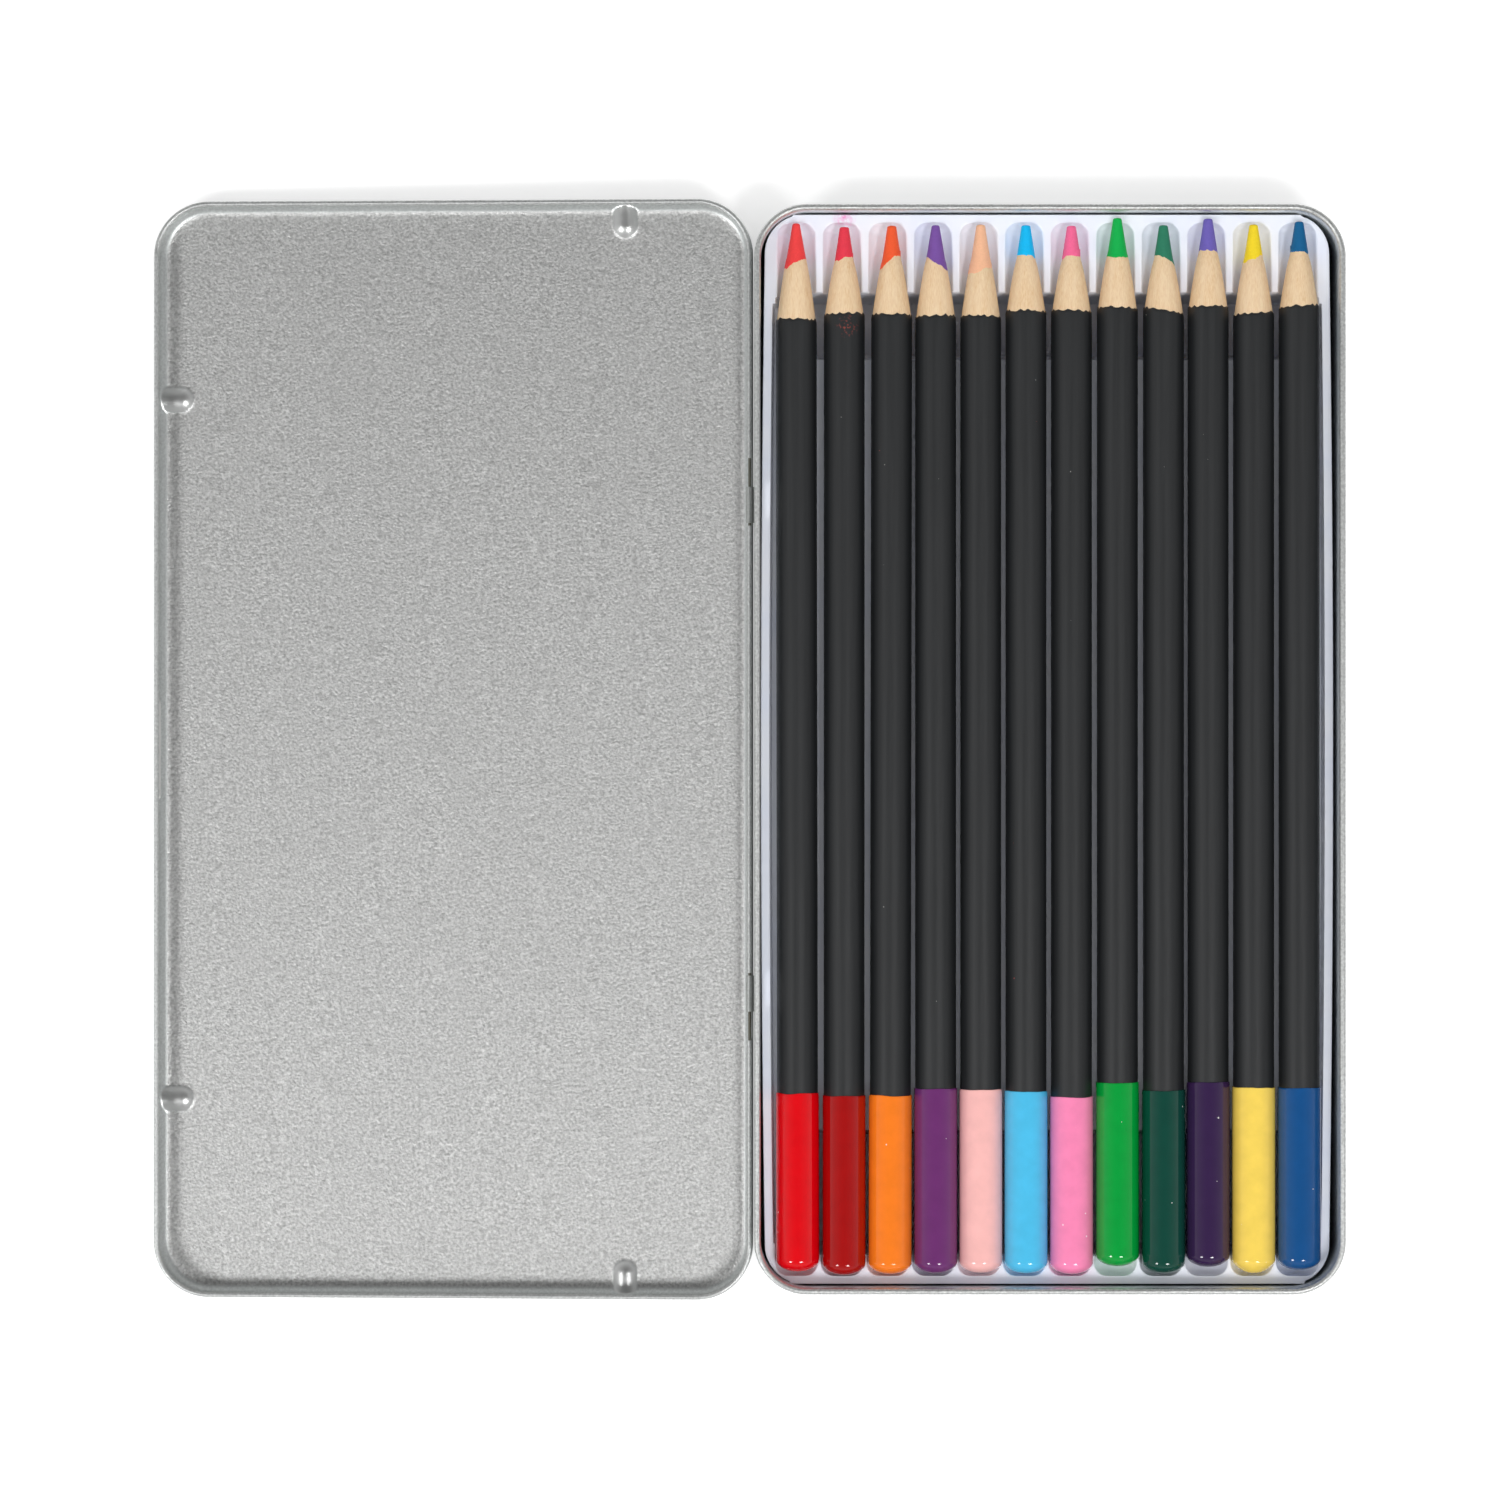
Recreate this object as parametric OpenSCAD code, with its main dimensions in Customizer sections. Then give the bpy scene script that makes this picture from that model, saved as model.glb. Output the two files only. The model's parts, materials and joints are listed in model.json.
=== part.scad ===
// Flat hinged tin with round coloured pencils lying in a formed tray.
// Millimetres. The origin is the middle of the base's underside, +X points
// away from the hinge and +Y towards the pencil points. The lid lies open.

/* [Tin] */
// Thickness of the tinplate
sheet_t = 0.3; // [0.2:0.02:0.34]
// Height of the closed tin
closed_h = 15; // [14.6:0.1:22]
// Width of the base over its rolled rim, from hinge side to front
base_w = 99.6; // [98.8:0.1:140]
// Length of the base over its rolled rim
base_l = 183.6; // [182:0.1:230]
// Radius of the base's corners over the rim, seen from above
corner_r = 8.9; // [6:0.1:14]
// Diameter of the roll along the base's rim
rim_d = 1.1; // [0.9:0.05:1.4]
// Radius pressed between the base's floor and wall
foot_r = 1.6; // [0.8:0.1:2.4]

/* [Lid] */
// Depth of the lid from its top face to its rolled edge
lid_d = 5.25; // [4.2:0.05:7]
// Diameter of the roll along the lid's edge
edge_d = 0.9; // [0.75:0.05:1.1]
// Radius of the lid's corners, seen from above
lid_corner_r = 9.4; // [7:0.1:14]
// Radius pressed between the lid's top and its wall
lid_edge_r = 2.3; // [1.2:0.1:2.6]
// Gap between the rolled rim and the lid's rolled edge at the front
front_gap = 0.1; // [0.06:0.01:0.4]
// Gap between the rolled rim and the lid's rolled edge at each end
end_gap = 0.3; // [0.1:0.05:0.8]

/* [Stops and snap] */
// Height that each stop dimple is pressed below the lid's top sheet
dimple_h = 1; // [0.6:0.05:1.6]
// Radius of the rounded tool that presses a dimple
dimple_r = 2.7; // [2:0.1:3.4]
// Length of a dimple, inwards from the wall
dimple_l = 5.9; // [3.4:0.1:7]
// Distance of each front dimple from the tin's middle
front_dimple_y = 59.6; // [30:0.1:75]
// Distance of each end dimple from the hinge line
end_dimple_x = 21.4; // [16:0.1:80]
// Gap between the dimples and the rim they stop on
stop_gap = 0.05; // [0.03:0.01:0.2]
// Length of the bead that snaps under the rim at the front
snap_l = 17.6; // [8:0.1:40]
// Radius of the rounded tool that presses the snap bead
snap_r = 1.2; // [0.8:0.05:1.5]
// Gap between the snap bead and the rim that it passes
snap_gap = 0.05; // [0.03:0.01:0.2]

/* [Hinge] */
// Distance of each hinge tongue from the tin's middle
tongue_y = 41.25; // [15:0.05:70]
// Width of a hinge tongue
tongue_w = 6.1; // [4:0.1:10]
// Length of the window in the lid's edge that a tongue works in
window_l = 11.4; // [9:0.1:16]
// Play between a tongue and the window's end nearest the middle
window_play = 0.45; // [0.2:0.05:1]
// Gap between the base's rim and the lid's back edge
hinge_gap = 0.3; // [0.2:0.05:0.6]
// Radius of the slim bar that the lid's edge is drawn down to in a window
bar_r = 0.25; // [0.2:0.01:0.3]
// Running clearance between a tongue's curl and the bar
bar_run = 0.05; // [0.02:0.01:0.09]
// Height of the slot that a tongue leaves in the base's back wall
lance_h = 2.2; // [1:0.1:2.4]

/* [Tray] */
// Thickness of the tray's sheet
tray_t = 0.4; // [0.25:0.05:0.6]
// Height of the tray's flange above the tin's floor
tray_h = 8.55; // [8:0.05:8.6]
// Gap between the tray and the base's wall
tray_gap = 0.3; // [0.2:0.05:0.6]
// How far the tray's long sides draw in at their ends
tray_bow = 0.9; // [0.4:0.1:2]
// Radius of the tray's corners, seen from above
tray_corner_r = 6; // [5:0.1:8]
// Radius of a flute
flute_r = 3.7; // [3.62:0.01:3.8]
// Radius of a flute where it starts to taper, in the point trough
flute_neck_r = 3.45; // [3:0.05:3.6]
// Radius that a flute tapers to at its point end
flute_nose_r = 2.85; // [2.4:0.05:3.4]
// Distance between neighbouring flutes
pitch = 7.7; // [7.64:0.02:7.74]
// Height of a flute's centre line above the flange
flute_lift = 0.95; // [0.9:0.05:1]
// Flange left along the tray's long sides
side_flange = 1.4; // [1.2:0.05:2]
// Room between that flange and the outermost flutes
side_room = 0.9; // [0.5:0.05:3]
// Depth below the flange of the bed that the barrels lie in
bed_depth = 2.05; // [1.5:0.05:2.4]
// Flange left beyond the flutes' ends
end_flange = 1.35; // [1.2:0.05:3]
// Radius pressed round a flute's ends
flute_end_r = 2.2; // [0.5:0.1:2.2]
// Radius of the troughs' corners, seen from above
trough_r = 2; // [1:0.1:5]
// Distance from the flutes' ends to the trough under the pencils' shoulders
point_trough_in = 11.7; // [4:0.1:40]
// Width along Y of the trough under the pencils' shoulders
point_trough_w = 11.8; // [6:0.1:30]
// Distance from the flutes' ends to the trough under the dipped ends
end_trough_in = 3.5; // [2.4:0.1:40]
// Width along Y of the trough under the dipped ends
end_trough_w = 21.5; // [6:0.1:40]

/* [Pencils] */
// How much shorter than its flute each pencil is
pencil_play = 1.1; // [0.8:0.1:20]
// Diameter of the lacquered barrel
barrel_d = 6.9; // [6:0.05:6.95]
// Thickness of the black lacquer
lacquer_t = 0.12; // [0.08:0.01:0.3]
// Diameter of the coloured core
lead_d = 3.2; // [2.5:0.1:3.8]
// Clearance between a pencil's layers
layer_gap = 0.02; // [0.01:0.005:0.04]
// Diameter of the blunt tip
tip_d = 1.6; // [0.6:0.1:2.2]
// Length of bare core at the tip
lead_tip_l = 5.9; // [3:0.1:8]
// Length of the whole sharpened point
point_l = 15.4; // [11:0.1:20]
// Diameter over the dipped end
cap_d = 7.1; // [7.05:0.01:7.15]
// Length of the dipped end
cap_l = 30.8; // [10:0.1:60]
// Depth of the dipped end's rounded nose
cap_nose = 2; // [1:0.1:3]
// Thickness of the dip at the middle of the nose
cap_t = 0.35; // [0.2:0.05:0.6]
// Gap between a dipped end and the flute under it
seat_gap = 0.05; // [0.02:0.01:0.1]
// How far each pencil has slid along its flute, towards its point
slide_y = [0.3, -0.3, -0.1, 0, 0.1, 0, -0.1, 1.2, 0, 1.1, 0.1, 0.6]; // [-0.5:0.05:1.3]
// How far each pencil leans to one side of its flute
lean_x = [-0.1, 0.03, 0.1, 0.1, 0.02, -0.04, -0.06, 0, 0.08, -0.08, -0.1, -0.1]; // [-0.1:0.01:0.1]

/* [Colours] */
// Colour of each pencil's core
core_colours = ["#f04848", "#e63c50", "#f05a28", "#7850a0", "#ffb488", "#00b8f0",
                "#f06496", "#00b050", "#2d8264", "#6a5ab4", "#fadc28", "#005a8c"]; // [any]
// Colour of each pencil's dipped end
cap_colours = ["#e3000f", "#a80a0a", "#ff8220", "#6e3070", "#ffc0bc", "#50c3f0",
               "#ff8cba", "#00a03c", "#0b463a", "#36204a", "#fcd95f", "#12508c"]; // [any]

/* [Hidden] */
$fn = 64;

// Heights of the base
base_h = closed_h - sheet_t - dimple_h - stop_gap;
wall_in = rim_d - sheet_t;
floor_inset = wall_in + foot_r;

// Plan of the closed lid
hinge_x = -(base_w / 2 + hinge_gap + edge_d / 2);
lid_w = base_w + front_gap + hinge_gap + 2 * edge_d;
lid_l = base_l + 2 * (end_gap + edge_d);
lid_x = (front_gap - hinge_gap) / 2;
lid_front_x = lid_x + lid_w / 2 - sheet_t;
lid_end_y = lid_l / 2 - sheet_t;

// The hinge line runs along the middle of the lid's rolled back edge
hinge_z = closed_h - lid_d + edge_d / 2;
curl_in = bar_r + bar_run;
curl_out = curl_in + sheet_t;
window_y = tongue_y - tongue_w / 2 - window_play + window_l / 2;

// The open lid leans back until its front corner rests on the table
arm_x = lid_w - edge_d / 2 - lid_edge_r;
arm_z = closed_h - hinge_z - lid_edge_r;
lean = asin((hinge_z - lid_edge_r) / norm([arm_x, arm_z])) - atan2(arm_z, arm_x);
open_angle = 180 + lean;

// Tray
tray_w = base_w - 2 * (rim_d + tray_gap);
tray_l = base_l - 2 * (rim_d + tray_gap);
flange_z = sheet_t + tray_h;
flute_z = flange_z + flute_lift;
tray_side_y = tray_l / 2 - tray_corner_r;
// The bow stops short of the corners, where the side runs straight.
bow_end_y = tray_side_y - 0.5;
bow_r = (pow(bow_end_y, 2) + pow(tray_bow, 2)) / (2 * tray_bow);

// The troughs stand on the tin's floor, and the skirt ends above its foot
trough_z = sheet_t + tray_t;
skirt_z = foot_r + tray_gap;
flute_l = tray_l - 2 * end_flange;

// As many flutes as the tray has room for
flute_room = tray_w - 2 * (side_flange + side_room + flute_r);
pencil_count = floor(flute_room / pitch) + 1;
trough_w = (pencil_count - 1) * pitch + barrel_d;
point_trough_y = flute_l / 2 - point_trough_in - point_trough_w / 2;
end_trough_y = end_trough_in + end_trough_w / 2 - flute_l / 2;

// Pencils
pencil_l = flute_l - pencil_play;
lead_r = lead_d / 2;
bore_r = lead_r + layer_gap;
skin_r = barrel_d / 2;
bore_skin_r = skin_r - lacquer_t;
wood_r = bore_skin_r - layer_gap;
cap_bore_r = skin_r + layer_gap;
butt_z = cap_t + layer_gap;
seat_r = flute_r - cap_d / 2 - seat_gap;
shoulder_z = pencil_l - point_l;
PENCILS = [for (i = [0 : pencil_count - 1]) i];
LAYERS = ["lead", "casing", "lacquer", "cap"];

function two_digits(i) = i < 9 ? str("0", i + 1) : str(i + 1);
function pencil_node(i, layer) = str("pencil_", two_digits(i), "_", layer);
function in_turn(list, i) = list[i % len(list)];

// ---------- outlines and sweeps ----------

// A rectangle with round corners.
module round_rect(w, l, r) {
    for (x = [r - w / 2, w / 2 - r])
        for (y = [r - l / 2, l / 2 - r])
            translate([x, y]) circle(r);
    square([w - 2 * r, l], center = true);
    square([w, l - 2 * r], center = true);
}

// Carries a profile round a rectangle with round corners. The profile's
// x = 0 follows the outline, and its negative x points inwards.
module sweep_round(w, l, r) {
    for (a = [0, 180])
        rotate([0, 0, a]) {
            translate([w / 2, l / 2 - r, 0])
                rotate([90, 0, 0]) linear_extrude(l - 2 * r) children();
            translate([w / 2 - r, l / 2, 0])
                rotate([90, 0, 90]) mirror([0, 0, 1]) linear_extrude(w - 2 * r) children();
            translate([w / 2 - r, l / 2 - r, 0])
                rotate_extrude(angle = 90) translate([r, 0]) children();
            translate([r - w / 2, l / 2 - r, 0])
                rotate([0, 0, 90]) rotate_extrude(angle = 90) translate([r, 0]) children();
        }
}

// A tube of sheet seen end on, with one quarter cut away. The quarter
// starts at the given angle.
module open_roll(d, t, open_from) {
    difference() {
        circle(d / 2, $fn = 32);
        circle(d / 2 - t, $fn = 32);
        rotate(open_from) square(d);
    }
}

// A quarter of a bend in the sheet, centred on the origin.
module quarter_bend(r, t, from) {
    intersection() {
        difference() {
            circle(r, $fn = 48);
            circle(r - t, $fn = 48);
        }
        rotate(from) square(r + 1);
    }
}

// A round bar with ball ends, lying along Y.
module ball_bar(r, l) {
    rotate([90, 0, 0]) cylinder(r = r, h = l, center = true);
    for (y = [-l / 2, l / 2])
        translate([0, y, 0]) sphere(r);
}

// ---------- base ----------

// Foot, wall and rolled rim, with x = 0 at the outside of the roll.
module base_profile() {
    translate([-rim_d / 2, base_h - rim_d / 2]) open_roll(rim_d, sheet_t, 180);
    translate([-rim_d, foot_r]) square([sheet_t, base_h - rim_d / 2 - foot_r]);
    translate([-floor_inset, foot_r]) quarter_bend(foot_r, sheet_t, 270);
    translate([-floor_inset - 1, 0]) square([1, sheet_t]);
}

// A tongue cut from the back wall and curled round the lid's hinge bar.
module hinge_tongue() {
    rotate([90, 0, 0])
        linear_extrude(tongue_w, center = true) {
            translate([hinge_x, hinge_z]) open_roll(2 * curl_out, sheet_t, 280);
            translate([hinge_x, hinge_z - curl_out])
                square([-hinge_x - base_w / 2 + wall_in + sheet_t, sheet_t]);
        }
}

// The slot that a tongue leaves behind in the wall.
module tongue_slot() {
    translate([-base_w / 2 - 1, -tongue_w / 2, hinge_z - curl_out + sheet_t])
        cube([rim_d + 2, tongue_w, lance_h]);
}

module base_shell() {
    color("silver") {
        difference() {
            union() {
                sweep_round(base_w, base_l, corner_r) base_profile();
                linear_extrude(sheet_t)
                    round_rect(base_w - 2 * floor_inset, base_l - 2 * floor_inset, corner_r - floor_inset);
            }
            for (side = [-1, 1])
                translate([0, side * tongue_y, 0]) tongue_slot();
        }
        for (side = [-1, 1])
            translate([0, side * tongue_y, 0]) hinge_tongue();
    }
}

// ---------- lid, drawn closed ----------

// Edge roll, wall and top bend, with x = 0 at the outside of the wall.
module lid_profile() {
    translate([-edge_d / 2, hinge_z]) open_roll(edge_d, sheet_t, 0);
    translate([-sheet_t, hinge_z]) square([sheet_t, closed_h - lid_edge_r - hinge_z]);
    translate([-lid_edge_r, closed_h - lid_edge_r]) quarter_bend(lid_edge_r, sheet_t, 0);
    translate([-lid_edge_r - 1, closed_h - sheet_t]) square([1, sheet_t]);
}

// The same outside as the profile, but filled.
module lid_block_profile() {
    translate([-lid_edge_r, closed_h - lid_edge_r]) circle(lid_edge_r, $fn = 48);
    translate([-lid_edge_r, hinge_z]) square([lid_edge_r, closed_h - lid_edge_r - hinge_z]);
    translate([-lid_corner_r, hinge_z]) square([lid_corner_r - lid_edge_r, closed_h - hinge_z]);
}

module lid_sheet() {
    sweep_round(lid_w, lid_l, lid_corner_r) lid_profile();
    translate([0, 0, closed_h - sheet_t])
        linear_extrude(sheet_t)
            round_rect(lid_w - 2 * lid_edge_r, lid_l - 2 * lid_edge_r, lid_corner_r - lid_edge_r);
}

// The outside of the lid, filled round its border.
module lid_block() {
    sweep_round(lid_w, lid_l, lid_corner_r) lid_block_profile();
}

// The rounded tool that presses one stop dimple inwards from a wall that
// faces +Y. The wall's inner face is at y = 0.
module dimple_tool(r) {
    reach = dimple_l - sqrt(pow(dimple_r, 2) - pow(dimple_r - dimple_h, 2));
    translate([0, 0, closed_h - sheet_t - dimple_h + dimple_r]) {
        translate([0, -reach, 0]) sphere(r);
        translate([0, -reach, 0]) rotate([-90, 0, 0]) cylinder(r = r, h = reach + 2);
    }
}

module dimple_tools(r) {
    for (side = [-1, 1]) {
        translate([lid_front_x, side * front_dimple_y, 0]) rotate([0, 0, -90]) dimple_tool(r);
        translate([hinge_x + end_dimple_x, side * lid_end_y, 0])
            rotate([0, 0, side < 0 ? 180 : 0]) dimple_tool(r);
    }
}

// The rounded tool that presses the snap bead, just below the base's rim.
module snap_tool(r) {
    translate([base_w / 2 + snap_gap + snap_r, 0, base_h - rim_d - snap_r * 0.6])
        ball_bar(r, snap_l - 2 * sqrt(pow(snap_r, 2) - pow(snap_r / 2, 2)));
}

// The gaps in the back edge that the tongues work in.
module hinge_windows() {
    for (side = [-1, 1])
        translate([hinge_x, side * window_y, hinge_z])
            cube([edge_d * 2, window_l, 2 * (curl_out + 0.4)], center = true);
}

// The slim bars that carry the edge across the windows.
module hinge_bars() {
    for (side = [-1, 1])
        translate([hinge_x, side * window_y, hinge_z])
            rotate([90, 0, 0]) cylinder(r = bar_r, h = window_l + 2, center = true, $fn = 32);
}

module closed_lid() {
    difference() {
        union() {
            translate([lid_x, 0, 0]) lid_sheet();
            intersection() {
                translate([lid_x, 0, 0]) lid_block();
                union() {
                    dimple_tools(dimple_r);
                    snap_tool(snap_r);
                }
            }
        }
        dimple_tools(dimple_r - sheet_t);
        snap_tool(snap_r - sheet_t);
        hinge_windows();
    }
    hinge_bars();
}

module lid_shell() {
    color("silver")
        translate([hinge_x, 0, hinge_z])
            rotate([0, -open_angle, 0])
                translate([-hinge_x, 0, -hinge_z]) closed_lid();
}

// ---------- tray ----------

// The tray's outline, with long sides that draw in towards their ends.
module tray_outline(inset) {
    end_w = tray_w - 2 * tray_bow;
    round_rect(end_w - 2 * inset, tray_l - 2 * inset, tray_corner_r - inset);
    intersection() {
        for_both_sides(bow_r - tray_w / 2 + inset) circle(bow_r, $fn = 720);
        square([tray_w, 2 * tray_side_y], center = true);
    }
}

// What two copies of a shape share, one moved to each side.
module for_both_sides(x) {
    intersection() {
        translate([-x, 0]) children();
        translate([x, 0]) children();
    }
}

// A quarter of a disc, turned by steps of 90 degrees.
module quarter_disc(r, turn) {
    intersection() {
        circle(r);
        rotate(turn) square(r);
    }
}

// The bar that presses one flute. Its ends are rounded. In the point
// trough it steps down to a neck, which tapers towards the pencil's point.
module flute_tool(grow) {
    r = flute_r + grow;
    neck_r = flute_neck_r + grow;
    nose_r = flute_nose_r + grow;
    edge = flute_end_r + grow;
    end = flute_l / 2 + grow - edge;
    neck = flute_l / 2 - point_trough_in - 1;
    rotate([-90, 0, 0])
        rotate_extrude() {
            translate([0, -end]) square([r, neck + end]);
            translate([0, -end - edge]) square([r - edge, edge]);
            translate([r - edge, -end]) quarter_disc(edge, 270);
            polygon([[0, neck], [neck_r, neck], [nose_r, end], [0, end]]);
            translate([0, end]) square([nose_r - edge, edge]);
            translate([nose_r - edge, end]) quarter_disc(edge, 0);
        }
}

// Every flute, side by side.
module flutes(grow) {
    for (i = PENCILS)
        translate([flute_x(i), 0, flute_z]) flute_tool(grow);
}

function flute_x(i) = (i - (pencil_count - 1) / 2) * pitch;

// A finger trough across all the flutes.
module trough(y, width, grow) {
    translate([0, y, trough_z - grow])
        linear_extrude(closed_h)
            round_rect(trough_w + 2 * grow, width + 2 * grow, trough_r + grow);
}

// The bed that the barrels lie in. Its sides follow the tray's outline, and
// it ends inside both troughs.
module bed(grow) {
    low_y = end_trough_in + trough_r + 1 - flute_l / 2;
    high_y = flute_l / 2 - point_trough_in - trough_r - 1;
    translate([0, 0, flange_z - bed_depth - grow])
        linear_extrude(closed_h)
            intersection() {
                tray_outline(side_flange - grow);
                translate([-tray_w / 2, low_y]) square([tray_w, high_y - low_y]);
            }
}

// The pressed pockets: every flute, the bed and both troughs.
module pockets(grow) {
    flutes(grow);
    bed(grow);
    trough(point_trough_y, point_trough_w, grow);
    trough(end_trough_y, end_trough_w, grow);
}

// The block that the tray's sheet is drawn over. It is wider above the
// skirt's lower edge.
module tray_block() {
    translate([0, 0, sheet_t])
        linear_extrude(flange_z - sheet_t) tray_outline(tray_t);
    translate([0, 0, skirt_z])
        linear_extrude(flange_z - skirt_z) tray_outline(0);
}

module pencil_tray() {
    color("white")
        difference() {
            tray_block();
            pockets(0);
            difference() {
                linear_extrude(flange_z - tray_t) tray_outline(tray_t);
                pockets(tray_t);
            }
        }
}

// ---------- pencils, drawn standing on their dipped ends ----------

// Height of a rounded nose at a radius, for a nose of full radius r.
function nose_z(x, r) = cap_nose * (1 - sqrt(1 - pow(min(x / r, 1), 2)));

// Points along a rounded nose between two radii, raised by z.
function nose_points(x0, x1, r, z) = [
    for (s = [0 : 1 / 8 : 1])
        let (x = x0 + (x1 - x0) * sin(90 * s))
            [x, z + nose_z(x, r)]
];

// Radius of the sharpened wood, which swells a little above its straight line.
function point_r(s) = bore_r + (wood_r - bore_r) * pow(sin(90 * s), 1.15);

module seat_pencil(i) {
    lean = max(-seat_r, min(seat_r, in_turn(lean_x, i)));
    drop = sqrt(max(0, pow(seat_r, 2) - pow(lean, 2)));
    translate([flute_x(i) + lean, in_turn(slide_y, i) - pencil_l / 2, flute_z - drop])
        rotate([-90, 0, 0]) children();
}

module pencil_lead(i) {
    seat_pencil(i)
        color(in_turn(core_colours, i))
            rotate_extrude()
                polygon([
                    [0, butt_z + nose_z(lead_r, wood_r)],
                    [lead_r, butt_z + nose_z(lead_r, wood_r)],
                    [lead_r, pencil_l - lead_tip_l],
                    [tip_d / 2, pencil_l],
                    [0, pencil_l]
                ]);
}

module pencil_casing(i) {
    seat_pencil(i)
        color("burlywood")
            rotate_extrude()
                polygon(concat(
                    nose_points(bore_r, wood_r, wood_r, butt_z),
                    [for (s = [1 : -1 / 8 : 0])
                        [point_r(s), pencil_l - lead_tip_l - s * (point_l - lead_tip_l)]]
                ));
}

module pencil_lacquer(i) {
    seat_pencil(i)
        color("#2b2d2f")
            rotate_extrude()
                translate([bore_skin_r, butt_z + cap_nose])
                    square([lacquer_t, shoulder_z - butt_z - cap_nose]);
}

module pencil_cap(i) {
    seat_pencil(i)
        color(in_turn(cap_colours, i))
            rotate_extrude()
                polygon(concat(
                    nose_points(0, cap_d / 2, cap_d / 2, 0),
                    [[cap_d / 2, cap_l], [cap_bore_r, cap_l]],
                    nose_points(cap_bore_r, 0, cap_bore_r, cap_t)
                ));
}

// ---------- assembly ----------

base_shell();
lid_shell();
pencil_tray();
for (i = PENCILS) {
    pencil_lead(i);
    pencil_casing(i);
    pencil_lacquer(i);
    pencil_cap(i);
}
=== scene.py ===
"""Open pencil tin: tinplate shells, a formed tray and twelve coloured pencils."""
import json
import math

import bmesh
import bpy
from mathutils import Matrix, Vector, noise


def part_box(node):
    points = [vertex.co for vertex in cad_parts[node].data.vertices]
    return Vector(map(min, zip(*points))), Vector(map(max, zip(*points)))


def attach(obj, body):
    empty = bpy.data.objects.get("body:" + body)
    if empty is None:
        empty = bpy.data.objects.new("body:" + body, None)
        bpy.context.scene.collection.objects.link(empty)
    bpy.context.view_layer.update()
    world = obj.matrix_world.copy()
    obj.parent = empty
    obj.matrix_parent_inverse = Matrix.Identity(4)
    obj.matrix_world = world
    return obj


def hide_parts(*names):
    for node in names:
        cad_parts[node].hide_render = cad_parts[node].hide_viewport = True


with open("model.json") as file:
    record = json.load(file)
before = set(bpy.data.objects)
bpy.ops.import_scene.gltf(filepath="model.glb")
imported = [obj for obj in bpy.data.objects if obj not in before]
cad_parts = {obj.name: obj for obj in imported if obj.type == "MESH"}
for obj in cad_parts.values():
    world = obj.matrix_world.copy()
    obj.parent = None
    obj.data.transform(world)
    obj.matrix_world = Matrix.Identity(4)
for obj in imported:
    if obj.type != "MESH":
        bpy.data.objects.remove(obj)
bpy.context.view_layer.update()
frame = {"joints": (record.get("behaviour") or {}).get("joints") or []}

MM = 0.001


def box_mm(node):
    low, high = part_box(node)
    return low / MM, high / MM


# ---------- sizes in millimetres ----------

SHEET = 0.3
base_box, lid_box, tray_box = box_mm("base_shell"), box_mm("lid_shell"), box_mm("pencil_tray")

# base
BASE_W, BASE_L, BASE_H = 2 * base_box[1].x, 2 * base_box[1].y, base_box[1].z
CORNER_R = 8.9
RIM_D = 1.1
FOOT_R = 1.6
WALL_IN = RIM_D - SHEET
FLOOR_BORDER = 2.5  # rows of faces round the flat floor

# lid, drawn closed and then turned open
hinge = next(j for j in frame["joints"] if j["name"] == "lid_hinge")
HINGE_X, HINGE_Z = hinge["pos_m"][0] / MM, hinge["pos_m"][2] / MM
OPEN_ANGLE = -hinge["range_deg"][0]
DIMPLE_H = 1
DIMPLE_R = 2.7
DIMPLE_L = 5.9
DIMPLE_BLEND = 0.35  # rounding where a dimple meets the sheet
DIMPLE_ZONE = 3  # half of the finely divided stretch at a dimple
FRONT_DIMPLE_Y = 59.6
END_DIMPLE_X = 21.4
STOP_GAP = 0.05
CLOSED_H = BASE_H + SHEET + DIMPLE_H + STOP_GAP
EDGE_D = 0.9
LID_CORNER_R = 9.4
LID_EDGE_R = 2.3
FRONT_GAP = 0.1
HINGE_GAP = 0.3
LID_W = BASE_W + FRONT_GAP + HINGE_GAP + 2 * EDGE_D
LID_L = 2 * lid_box[1].y
LID_X = (FRONT_GAP - HINGE_GAP) / 2
LID_FRONT_X = LID_X + LID_W / 2 - SHEET
LID_BORDER = 7.4  # finely divided border of the lid's top
SNAP_L = 17.6
SNAP_R = 1.2
SNAP_GAP = 0.05
SNAP_DROP = 0.72  # from the base's rim down to the bead's middle
SNAP_BLEND = 0.15
FINE = 0.25  # spacing of the lid's points where it is pressed

# hinge
TONGUE_Y = 41.25
TONGUE_W = 6.1
WINDOW_L = 11.4
WINDOW_PLAY = 0.45
WINDOW_Y = TONGUE_Y - TONGUE_W / 2 - WINDOW_PLAY + WINDOW_L / 2
BAR_R = 0.25
CURL_MID = 0.45
CURL_OUT = 0.6
LANCE_H = 2.2  # height of the slot that a tongue leaves in the wall
WINDOW_TOP = HINGE_Z + CURL_OUT + 0.4

# pencils, turned from straight outlines and then given their uneven edges
PENCIL_L = 177
BARREL_R = 3.45
LACQUER_BORE_R = 3.33
WOOD_R = 3.31
WOOD_START = 3.3
WOOD_BORE_R = 1.63
WOOD_TIP_BORE_R = 1.05
CORE_R = 1.62
CORE_TIP_L = 5.9
CORE_TIP_START = 0.3  # end of the tip's rounding
LEAD_R = 1.6  # the core inside the wood
CONE_CURVE = 0.8  # 1 is a straight cone, and less is a fuller one
DIP_R = 3.65
NOSE = 2
SAGGED_DIP = 10  # index of the pencil whose dip sagged at its nose
FACETS = 72

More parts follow.
